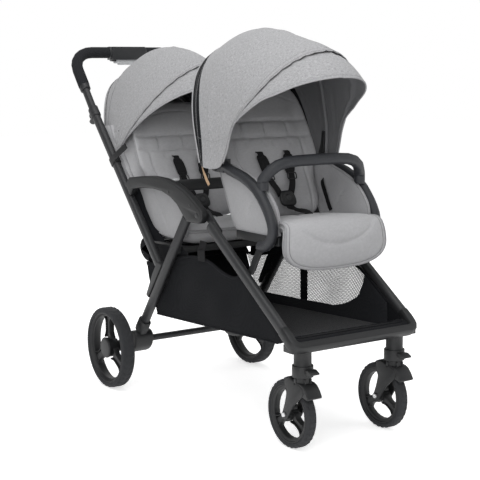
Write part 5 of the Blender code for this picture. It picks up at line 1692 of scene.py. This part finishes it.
def build_hood(word):
    """One hood: the main sheet over its bows, the visor under its hem, and their seams and trims."""
    shape = CANOPIES[word]
    root = BODY_OF[f"{word}_canopy_back"]
    hood = BODY_OF[f"{word}_canopy_main"]
    visor = BODY_OF[f"{word}_canopy_visor"]
    step = sizes().welt

    def crown(degrees):
        return tuple(hood_point(shape, math.pi / 2, degrees))

    top = math.pi / 2
    bend = (root, hood, crown(hood_edge(shape, "back", top) + 4), crown(hood_edge(shape, "welt", top) - 22))

    def hem(s, t):
        pucker = 0.0007 * math.sin(46 * t) * eased((s - 0.9) / 0.1)
        return 0.5 * step * eased((s - 0.95) / 0.05) + pucker

    main, main_rows = hood_sheet(
        f"{word}_hood_cloth", shape, lambda t: hood_edge(shape, "back", t) + zip_width(t),
        lambda t: hood_edge(shape, "welt", t) + 0.9 + 0.22 * math.sin(38 * t + 1.0), 60, hem,
    )
    finish(main, None, None, 60, "melange_grey")
    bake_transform(main)
    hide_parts(f"{word}_canopy_main", f"{word}_canopy_back")

    def tuck(s, t):
        pleat = 0.0016 * math.sin(31 * t + 3.0 * s) * (1 - eased(s / 0.55))
        return -step * (1 - eased((s - 0.05) / 0.40)) + pleat

    front, front_rows = hood_sheet(
        f"{word}_visor_cloth", shape, lambda t: hood_edge(shape, "welt", t) - 1.7,
        lambda t: hood_edge(shape, "brim", t), 20, tuck,
    )
    finish(front, visor, None, 60, "melange_grey")
    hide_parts(f"{word}_canopy_visor")

    lines = [
        ("welt_stitch", hood_line(shape, "welt", 0.5 * step + 0.0002, 0.05)),
        ("hem_stitch", hood_line(shape, "welt", 0.0002, -2.3)),
        ("seam_stitch_rear", hood_line(shape, "seam", 0.0001, -0.45)),
        ("seam_stitch_front", hood_line(shape, "seam", 0.0001, 0.45)),
    ]
    patch = [[], []]
    for k in range(33):
        share = 0.06 + 0.88 * k / 32
        t = math.asin(shape["patch"] * (1 + 0.35 * abs(2 * share - 1)))
        degrees = (1 - share) * hood_edge(shape, "back", t) + share * hood_edge(shape, "welt", t)
        patch[0].append(hood_point(shape, t, degrees, 0.0002))
        patch[1].append(hood_point(shape, math.pi - t, degrees, 0.0002))
    lines += [("patch_stitch_right", patch[1]), ("patch_stitch_left", patch[0])]
    for name, line in lines:
        thread = thread_line(f"{word}_{name}", line)
        finish(thread, None, "thread_cloth", 0)
        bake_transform(thread)

    binding = swept(
        f"{word}_visor_binding", hood_line(shape, "brim", -0.0008, 0.1), oval(0.0042, 0.0032, 8, 2.5)
    )
    finish(binding, visor, "melange_binding", 50)
    line = thread_line(f"{word}_visor_stitch", hood_line(shape, "brim", 0.0001, -1.0))
    finish(line, visor, "thread_cloth", 0)
    build_zip(word, shape, root)
    build_bows(word, shape, hood)
    declare_sheet(main, main_rows, [f"{word}_bow_sleeve_0", f"{word}_bow_sleeve_1"])
    declare_sheet(front, front_rows, [f"{word}_visor_binding"])
    build_curtain(word, shape, root)


def build_zip(word, shape, root):
    """The zip behind a hood's cloth: its tape, its teeth and the piping of the edge."""
    tape_rows = [
        [
            hood_point(shape, t, hood_edge(shape, "back", t) + 0.35 + (zip_width(t) + 0.5) * k / 6, -0.0010)
            for t in hood_spread(84)
        ]
        for k in range(7)
    ]
    tape = grid_piece(f"{word}_zip_tape", tape_rows[::-1])
    modify(tape, "SOLIDIFY", thickness=0.0012, offset=-1)
    finish(tape, root, "nylon_cloth" if word == "front" else "melange_binding", 60)
    declare_sheet(tape, tape_rows, [f"{word}_hood_cloth"])
    teeth = evenly([
        hood_point(shape, t, hood_edge(shape, "back", t) + 0.52 * zip_width(t), 0.0002)
        for t in hood_spread(160)
    ], 0.0021)
    scales = [1.0 if i % 2 else 0.66 for i in range(len(teeth))]
    coil = swept(f"{word}_zip_coil", teeth, oval(0.0040, 0.0026, 6), scales=scales)
    finish(coil, root, "plastic", 40)
    cord = piped(f"{word}_back_piping", hood_line(shape, "back", -0.0004, 0.0, 140), 0.0027)
    finish(cord, root, "melange_binding", 60)


def build_bows(word, shape, hood):
    """The cloth sleeves of the bows and the brackets that hold the bows' ends at the pivots."""
    pivot = shape["pivot"]
    for k, bow in enumerate(shape["bows"]):
        path = [hood_point(shape, t, bow, -0.0062) for t in hood_spread(90)]
        sleeve = swept(f"{word}_bow_sleeve_{k}", path, oval(0.0105, 0.0070, 10))
        finish(sleeve, None, "sleeve_cloth", 60)
        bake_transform(sleeve)
    for side_word, side in SIDES.items():
        blade = swept(
            f"{word}_bow_end_{side_word}",
            lift_y([(x, pivot[0] + y, pivot[1] + z) for x, y, z in (
                (0.1815, 0.002, -0.002), (0.1815, -0.004, 0.018), (0.1810, -0.010, 0.044),
                (0.1790, -0.017, 0.082),
            )], side),
            oval(0.0062, 0.0150, 12, 3.0), scales=[1.9, 1.7, 1.1, 0.9],
        )
        cap = turned(
            f"{word}_pivot_cap_{side_word}",
            mirrored([
                (-0.010, 0.0), (-0.010, 0.0140), (-0.0085, 0.0155), (0.0005, 0.0155), (0.0020, 0.0140),
                (0.0020, 0.0060), (0.0010, 0.0050), (0.0010, 0.0),
            ], side),
            side * 0.1868, pivot, 32,
        )
        both = joined(f"{word}_bracket_{side_word}", [blade, cap])
        soft_edges(both, 0.0008, 40, 2)
        finish(both, hood, "plastic")


def build_curtain(word, shape, root):
    """The lining that closes the hood behind the seat's back, from the zip down to the back's top."""
    seat = SEATS[word]
    top = math.dist(seat["crease"], seat["top"])

    def point(share, v):
        u = 2 * share - 1
        t = math.pi * (0.5 - 0.43 * u)
        upper = hood_point(shape, t, hood_edge(shape, "back", t) + 0.6, -0.0030)
        lower = on_back(seat, 0.90 * seat["back_half"] * u, top - 0.014 - 0.020 * abs(u) ** 6, -0.0120)
        lower.z -= 0.010 * (max(0.0, abs(u) - 0.8) / 0.2) ** 2
        spot = upper.lerp(lower, eased(v) * 0.3 + v * 0.7)
        spot.y += (0.010 * (1 - u * u) + 0.0018 * math.sin(9 * u + 5 * v)) * math.sin(math.pi * v)
        return spot

    rows = rows_of(18, 56, point)
    obj = grid_piece(f"{word}_hood_curtain", rows)
    obj.data.materials.append(look("lining_cloth"))
    modify(obj, "SOLIDIFY", thickness=0.0012, offset=0)
    finish(obj, None, None, 60, "melange_grey")
    start = hood_point(shape, math.pi / 2, hood_edge(shape, "back", math.pi / 2))
    end = on_back(seat, 0.0, top - 0.012, -0.012)
    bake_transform(obj)
    declare_sheet(obj, rows, [f"{word}_zip_tape", f"{word}_seat_back_pad"])


def build_canopies():
    for word in CANOPIES:
        build_hood(word)
    tag = swept(
        "zip_pull",
        lift_y([
            (-0.1890, -0.440, 0.720), (-0.1900, -0.447, 0.708), (-0.1905, -0.456, 0.695),
            (-0.1900, -0.466, 0.680), (-0.1885, -0.476, 0.666),
        ]),
        oval(0.0034, 0.0100, 12, 3.0), scales=[0.5, 0.6, 0.9, 1.15, 1.05],
    )
    soft_edges(tag, 0.0006, 40, 2)
    finish(tag, "front_frame_body", "tag_leather")


def cloth_sheet(name, rows, body, cloth, rests_on, thick=0.0014):
    """A cloth laid along rows of points, with its own thickness."""
    obj = grid_piece(name, rows)
    modify(obj, "SOLIDIFY", thickness=thick, offset=0)
    finish(obj, body, cloth, 60)
    declare_sheet(obj, rows, rests_on)
    return obj


def fold_up(pieces):
    """Gives each piece of the basket its own copy of its mesh."""
    for obj in pieces:
        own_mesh(obj)


def basket_edges():
    """The basket's rim and its bottom edge, point for point, in a view from the side."""
    rim = curved([(0, *p) for p in (
        (-0.102, 0.396), (-0.150, 0.4015), (-0.200, 0.405), (-0.283, 0.434), (-0.355, 0.449), (-0.425, 0.453),
        (-0.480, 0.444), (-0.530, 0.428), (-0.590, 0.420), (-0.640, 0.434), (-0.690, 0.4165), (-0.745, 0.380),
        (-0.798, 0.3445),
    )], 4)
    last = len(rim) - 1
    foot = [Vector((0, -0.160 - 0.638 * i / last, 0.2495 + 0.0285 * i / last)) for i in range(last + 1)]
    return foot, rim


def side_point(edges, i, v, side, inset=0.0):
    """A point of the basket's side: at i along its edges, v of the way up, a little slack."""
    foot, rim = edges
    point = foot[i].lerp(rim[i], v)
    u = i / (len(rim) - 1)
    slack = 0.0055 * math.sin(math.pi * min(1, 0.1 + u))
    slack += 0.0022 * math.sin(13 * u + 3 * v) + 0.0016 * math.sin(29 * u - 5 * v)
    point.x = side * (0.1835 + slack * math.sin(math.pi * v) - inset)
    point.y += AXLE_Y
    return point


def edged(name, path, width, height, power=2.5, body="rear_frame"):
    """A bound edge of the basket."""
    cord = swept(name, path, oval(width, height, 8, power))
    return finish(cord, body, "nylon_cloth", 60)


def build_basket():
    """The basket: floor, rear wall, a cloth side, a net side, bound edges, straps, apron and pocket."""
    edges = basket_edges()
    for word, side in SIDES.items():
        build_basket_side(edges, word, side)
    build_basket_floor()
    build_basket_rear()
    for word, side in SIDES.items():
        build_basket_band(edges, word, side)
    build_apron()
    build_pocket()


def build_basket_side(edges, word, side):
    """One side with its seam, rim and straps: cloth on the right, net on the left."""
    count = len(edges[0])
    rows = [[side_point(edges, i, j / 14, side) for i in range(count)] for j in range(15)]
    trims = [
        edged(f"basket_seam_{word}", evenly(rows[0], 0.012), 0.0052, 0.0052),
        edged(f"basket_rim_{word}", evenly(rows[-1], 0.012), 0.0052, 0.0090),
    ]
    cloth = "nylon_cloth" if word == "right" else "basket_net"
    rim = trims[1].name
    panel = cloth_sheet(
        f"basket_side_{word}", rows, "rear_frame", cloth, [rim], 0.0009
    )
    fold_up([panel, *trims])
    # Each strap: its y, its two ends' heights and its width; the net's front strap reaches the floor.
    front = (-0.431, 0.503, 0.446, 0.036) if word == "right" else (-0.405, 0.503, 0.266, 0.036)
    for k, (y, high, low, wide) in enumerate((front, (-0.2335, 0.374, 0.362, 0.022))):
        path = curved(lift_y([
            (0.1815, y, high), (0.1860, y + 0.001, high - 0.02),
            (0.1900, y, 0.5 * (high + low)), (0.1885, y - 0.001, low),
        ], side), 6)
        band = swept(f"basket_strap_{k}_{word}", path, oval(0.0022, wide, 12, 6.0))
        finish(band, "rear_frame", "webbing", 60)
        if k == 0:
            fold_up([band])


def build_basket_floor():
    def point(u, v):
        a, along = 2 * u - 1, math.sin(math.pi * v)
        sag = 0.0050 * (1 - a * a) * along
        ripple = 0.0016 * math.sin(9 * a + 17 * v) * (1 - a ** 4) * along
        return Vector((0.1828 * a, -0.162 - 0.637 * v + AXLE_Y, 0.2498 + 0.0285 * v - sag + ripple))

    # The floor is the basket nylon painted lighter: painted light on cloth that lies in shade.
    floor = cloth_sheet(
        "basket_floor", rows_of(40, 32, point), "rear_frame", "floor_cloth",
        ["basket_seam_right", "basket_seam_left"],
    )
    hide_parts("basket")
    fold_up([floor])


def build_basket_rear():
    """The rear wall, its bound edges and the flap that hangs it from the rear seat's frame."""
    def wall(u, v):
        a = 2 * u - 1
        y = -0.163 + 0.064 * v + 0.008 * math.sin(math.pi * v) * (1 - a * a)
        return Vector((0.1830 * a, y + AXLE_Y, 0.2495 + 0.1515 * v - 0.010 * math.sin(math.pi * u) * v * v))

    def flap(u, v):
        y = -0.100 - 0.010 * v + 0.0015 * math.sin(28.8 * u)
        return Vector((0.1780 * (2 * u - 1), y + AXLE_Y, 0.394 + 0.060 * v))

    seat, rims = ["rear_seat_frame_look"], ["basket_rim_right", "basket_rim_left"]
    cloth_sheet("basket_rear_flap", rows_of(6, 32, flap), "rear_frame", "nylon_cloth", seat)
    rows = rows_of(12, 32, wall)
    cloth_sheet("basket_rear", rows, "rear_frame", "nylon_cloth", rims)
    for k, row in enumerate((rows[0], rows[-1])):
        edged(f"basket_rear_edge_{k}", evenly(row, 0.012), 0.0052, 0.0080)


def build_basket_band(edges, word, side):
    """The cloth that lines a side's foot, and the flap that hangs it from the rear seat's frame."""
    foot, rim = edges
    heights = [
        (0.160, 0.268), (0.280, 0.280), (0.370, 0.277), (0.490, 0.284), (0.600, 0.308), (0.660, 0.334),
        (0.685, 0.356), (0.694, 0.390), (0.700, 0.440), (0.798, 0.440),
    ]
    shares = []
    for low, high in zip(foot, rim):
        level = min(max(through(heights, -low.y), low.z + 0.030), high.z - 0.001)
        shares.append((level - low.z) / (high.z - low.z))
    rows = [
        [side_point(edges, i, share * j / 3, side, 0.0020) for i, share in enumerate(shares)]
        for j in range(4)
    ]
    # The band is the basket nylon painted lighter: painted light on cloth that lies in shade.
    band = cloth_sheet(
        f"basket_band_{word}", rows, "rear_frame", "floor_cloth", [f"basket_side_{word}"]
    )
    fold_up([band])

    def flap(u, v):
        low = 0.034 * eased(u)
        x = side * (0.1800 + 0.0014 * math.sin(55 / 3 * u + 2 * v))
        return Vector((x, -0.130 - 0.215 * u + AXLE_Y, 0.392 + low + (0.072 - low) * v))

    cloth_sheet(
        f"basket_flap_{word}", rows_of(6, 20, flap), "rear_frame", "nylon_cloth",
        ["rear_seat_frame_look"],
    )


def build_apron():
    """The front of the basket: an apron over the front frame, with its seams, and a gusset at each end."""
    section = curved([(0, *p) for p in (
        (-0.796, 0.2795), (-0.812, 0.2815), (-0.826, 0.2895), (-0.842, 0.2985), (-0.856, 0.3002),
        (-0.868, 0.3002), (-0.879, 0.2992), (-0.8855, 0.2955),
    )], 4)
    last = len(section) - 1

    def point(u, v):
        p, a = section[round(v * last)], 2 * u - 1
        gather = 0.0004 * math.sin(34 * a + 2.0) * math.sin(math.pi * v)
        up = 0.010 * eased((abs(a) - 0.88) / 0.12) * (1 - v)
        return Vector(((0.1815 + 0.0055 * v) * a, p.y + AXLE_Y, p.z + gather + up))

    rows, body, seat = rows_of(last, 40, point), "front_frame_body", ["front_frame_look"]
    apron = cloth_sheet("basket_front_apron", rows, body, "nylon_cloth", seat)
    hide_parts("basket_apron")
    for k, at in enumerate((2, 11, 20)):
        path = [p + Vector((0, 0, 0.0012)) for p in rows[at][1:-1]]
        edged(f"basket_apron_seam_{k}", path, 0.0046, 0.0030, 2.0, body)

    for word, side in SIDES.items():
        def gusset(u, v, side=side):
            y = -0.789 - 0.063 * u
            low = through([(-p.y, p.z) for p in section], -y) - 0.001
            high = 0.3445 - 0.63 * (-0.798 - y)
            return Vector((side * (0.1868 + 0.0005 * v), y + AXLE_Y, low + (high - low) * v))

        rows = rows_of(4, 12, gusset)
        cloth_sheet(f"basket_gusset_{word}", rows, body, "nylon_cloth", seat)


def build_pocket():
    """The long pocket behind the basket, closed at its ends, with two bound edges."""
    loop = smooth_loop([
        (-0.136, 0.4060), (-0.108, 0.4020), (-0.076, 0.4005), (-0.052, 0.4090), (-0.040, 0.4220),
        (-0.0335, 0.4380), (-0.036, 0.4560), (-0.052, 0.4690), (-0.074, 0.4725), (-0.104, 0.4745),
        (-0.108, 0.4710), (-0.076, 0.4675), (-0.060, 0.4610), (-0.048, 0.4480), (-0.048, 0.4290),
        (-0.062, 0.4130), (-0.090, 0.4075), (-0.130, 0.4100),
    ], 5)
    middle = Vector((-0.066, 0.438, 0))
    rows = []
    for i in range(49):
        a = -1 + i / 24
        full = 0.06 + 0.94 * (1 - eased((abs(a) - 0.93) / 0.07))
        soft = 0.0020 * math.sin(17 * a) * (1 - a * a)
        spots = [middle.lerp(p, full) for p in loop]
        rows.append([Vector((0.1835 * a, p.x + soft * (p.x + 0.12) / 0.09 + AXLE_Y, p.y)) for p in spots])
    pocket = grid_piece("basket_rear_pocket", rows, wrap=True, caps=True)
    outward(pocket, 1e-6)
    finish(pocket, "rear_frame", "nylon_cloth", 60)
    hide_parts("basket_pocket")
    for k, at in enumerate((27, 47)):
        edged(f"basket_pocket_binding_{k}", [row[at] for row in rows[2:-2]], 0.0060, 0.0060)


# Floor, lights and camera.


def floor_finish():
    """Matt white floor; to the camera it is a little brighter, so the shadow stays and the rest is white."""
    made = bpy.data.materials.new("studio floor")
    made.use_nodes = True
    w = Wiring(made.node_tree)
    made.node_tree.nodes.remove(made.node_tree.nodes["Principled BSDF"])
    out = made.node_tree.nodes["Material Output"]
    path = w.put("ShaderNodeLightPath").outputs
    bounced = w.math("MAXIMUM", path["Is Glossy Ray"], path["Is Transmission Ray"])
    seen = w.math("MAXIMUM", path["Is Camera Ray"], bounced)
    matt = w.put("ShaderNodeBsdfDiffuse", {"Color": (0.80, 0.80, 0.80, 1.0)}).outputs[0]
    bright = w.put("ShaderNodeBsdfDiffuse", {"Color": (1.0, 1.0, 1.0, 1.0)}).outputs[0]
    glow = w.put("ShaderNodeEmission", {"Color": (1.0, 1.0, 1.0, 1.0), "Strength": 0.60}).outputs[0]
    shown = w.put("ShaderNodeAddShader", {0: bright, 1: glow}).outputs[0]
    mix = w.put("ShaderNodeMixShader", {0: seen, 1: matt, 2: shown})
    made.node_tree.links.new(mix.outputs[0], out.inputs["Surface"])
    return made


def area_light(name, place, target, size, power):
    at_rest()
    bpy.ops.object.light_add(type="AREA", location=place)
    lamp = bpy.context.object
    lamp.name = name
    lamp.data.shape = "RECTANGLE"
    lamp.data.size, lamp.data.size_y = size
    lamp.data.energy = power
    lamp.rotation_euler = (Vector(target) - Vector(place)).to_track_quat("-Z", "Y").to_euler()


def build_stage():
    """A white floor, soft lights and the camera at the photograph's angle."""
    at_rest()
    bpy.ops.mesh.primitive_plane_add(size=30, location=(0, 0, -0.0005))
    floor = bpy.context.object
    floor.name = "floor"
    bpy.ops.object.transform_apply(location=True, rotation=True, scale=True)
    floor.data.materials.append(floor_finish())

    area_light("light_top", (-0.6, -0.9, 3.4), (0.0, -0.1, 0.4), (3.2, 3.2), 62)
    area_light("light_front", (-2.6, -2.6, 1.7), (0.0, 0.0, 0.6), (2.4, 2.0), 34)
    area_light("light_side", (3.0, -1.2, 1.6), (0.0, 0.0, 0.6), (2.0, 2.0), 16)
    area_light("light_back", (0.8, 3.2, 2.2), (0.0, 0.2, 0.6), (2.4, 2.0), 22)

    world = bpy.context.scene.world or bpy.data.worlds.new("studio")
    bpy.context.scene.world = world
    world.use_nodes = True
    w = Wiring(world.node_tree)
    out = next(n for n in world.node_tree.nodes if n.type == "OUTPUT_WORLD")
    path = w.put("ShaderNodeLightPath").outputs
    seen = w.math("MAXIMUM", path["Is Camera Ray"], path["Is Transmission Ray"])
    fill = w.put("ShaderNodeBackground", {"Color": (1, 1, 1, 1), "Strength": 0.42}).outputs[0]
    white = w.put("ShaderNodeBackground", {"Color": (1, 1, 1, 1), "Strength": 1.0}).outputs[0]
    mix = w.put("ShaderNodeMixShader", {0: seen, 1: fill, 2: white})
    world.node_tree.links.new(mix.outputs[0], out.inputs["Surface"])

    azimuth, elevation, roll = map(math.radians, CAMERA_TURN)
    back = Vector((
        math.sin(azimuth) * math.cos(elevation), -math.cos(azimuth) * math.cos(elevation),
        math.sin(elevation),
    ))
    right = Vector((math.cos(azimuth), math.sin(azimuth), 0))
    up = back.cross(right)
    turned_right = math.cos(roll) * right + math.sin(roll) * up
    turned_up = -math.sin(roll) * right + math.cos(roll) * up
    at_rest()
    bpy.ops.object.camera_add(location=lift_y([CAMERA_PLACE])[0])
    camera = bpy.context.object
    camera.name = "camera"
    camera.rotation_euler = Matrix((turned_right, turned_up, back)).transposed().to_euler()
    camera.data.sensor_width = 36
    camera.data.lens = CAMERA_LENS
    bpy.context.scene.camera = camera
    bpy.context.scene.view_settings.view_transform = "Standard"


# Operators, panel and registration.


class STROLLER_OT_tubes(bpy.types.Operator):
    """Build the painted tubes"""

    bl_idname = "stroller.tubes"
    bl_label = "Tubes"
    bl_options = {"REGISTER", "UNDO"}

    def execute(self, context):
        build_tubes()
        return {"FINISHED"}


class STROLLER_OT_fittings(bpy.types.Operator):
    """Build the moulded fittings of the frame"""

    bl_idname = "stroller.fittings"
    bl_label = "Moulded fittings"
    bl_options = {"REGISTER", "UNDO"}

    def execute(self, context):
        build_fittings()
        return {"FINISHED"}


class STROLLER_OT_handle(bpy.types.Operator):
    """Build the foam grips, the handle's housing and its lever"""

    bl_idname = "stroller.handle"
    bl_label = "Handle"
    bl_options = {"REGISTER", "UNDO"}

    def execute(self, context):
        build_handle()
        return {"FINISHED"}


class STROLLER_OT_wheels(bpy.types.Operator):
    """Build the tyres, rims and axle bolts"""

    bl_idname = "stroller.wheels"
    bl_label = "Wheels"
    bl_options = {"REGISTER", "UNDO"}

    def execute(self, context):
        build_wheels()
        return {"FINISHED"}


class STROLLER_OT_bars(bpy.types.Operator):
    """Build the bumper bar and the front seat's arms"""

    bl_idname = "stroller.bars"
    bl_label = "Bumper bar and arms"
    bl_options = {"REGISTER", "UNDO"}

    def execute(self, context):
        build_bars()
        return {"FINISHED"}


class STROLLER_OT_seats(bpy.types.Operator):
    """Build the padding of both seats and the calf rest"""

    bl_idname = "stroller.seats"
    bl_label = "Seats"
    bl_options = {"REGISTER", "UNDO"}

    def execute(self, context):
        build_seats()
        return {"FINISHED"}


class STROLLER_OT_harness(bpy.types.Operator):
    """Build the straps, pads and buckles"""

    bl_idname = "stroller.harness"
    bl_label = "Harness"
    bl_options = {"REGISTER", "UNDO"}

    def execute(self, context):
        build_harness()
        return {"FINISHED"}


class STROLLER_OT_canopies(bpy.types.Operator):
    """Build both hoods with their seams, zips and bows"""

    bl_idname = "stroller.canopies"
    bl_label = "Canopies"
    bl_options = {"REGISTER", "UNDO"}

    def execute(self, context):
        build_canopies()
        return {"FINISHED"}


class STROLLER_OT_basket(bpy.types.Operator):
    """Build the basket with its net, straps and pocket"""

    bl_idname = "stroller.basket"
    bl_label = "Basket"
    bl_options = {"REGISTER", "UNDO"}

    def execute(self, context):
        build_basket()
        return {"FINISHED"}


class STROLLER_OT_stage(bpy.types.Operator):
    """Add the floor, the lights and the camera"""

    bl_idname = "stroller.stage"
    bl_label = "Stage"
    bl_options = {"REGISTER", "UNDO"}

    def execute(self, context):
        build_stage()
        return {"FINISHED"}


OPERATORS = (
    STROLLER_OT_tubes, STROLLER_OT_fittings, STROLLER_OT_handle, STROLLER_OT_wheels,
    STROLLER_OT_bars, STROLLER_OT_seats, STROLLER_OT_harness, STROLLER_OT_canopies,
    STROLLER_OT_basket, STROLLER_OT_stage,
)


class STROLLER_PT_sidebar(bpy.types.Panel):
    """Sizes, colours and a button for each group of pieces"""

    bl_label = "Tandem Stroller"
    bl_idname = "STROLLER_PT_sidebar"
    bl_space_type = "VIEW_3D"
    bl_region_type = "UI"
    bl_category = "Stroller"

    def draw(self, context):
        column = self.layout.column()
        for settings in (context.scene.stroller_sizes, context.scene.stroller_colours):
            for key in settings.bl_rna.properties.keys():
                if key not in ("rna_type", "name"):
                    column.prop(settings, key)
        for operator in OPERATORS:
            column.operator(operator.bl_idname)


CLASSES = (StrollerColours, StrollerSizes, *OPERATORS, STROLLER_PT_sidebar)


def register():
    for cls in CLASSES:
        bpy.utils.register_class(cls)
    bpy.types.Scene.stroller_colours = bpy.props.PointerProperty(type=StrollerColours)
    bpy.types.Scene.stroller_sizes = bpy.props.PointerProperty(type=StrollerSizes)


def unregister():
    del bpy.types.Scene.stroller_sizes
    del bpy.types.Scene.stroller_colours
    for cls in reversed(CLASSES):
        bpy.utils.unregister_class(cls)


def main():
    register()
    bpy.ops.stroller.stage()
    bpy.ops.stroller.tubes()
    bpy.ops.stroller.fittings()
    bpy.ops.stroller.handle()
    bpy.ops.stroller.wheels()
    bpy.ops.stroller.bars()
    bpy.ops.stroller.seats()
    bpy.ops.stroller.harness()
    bpy.ops.stroller.canopies()
    bpy.ops.stroller.basket()


if __name__ == "__main__":
    main()
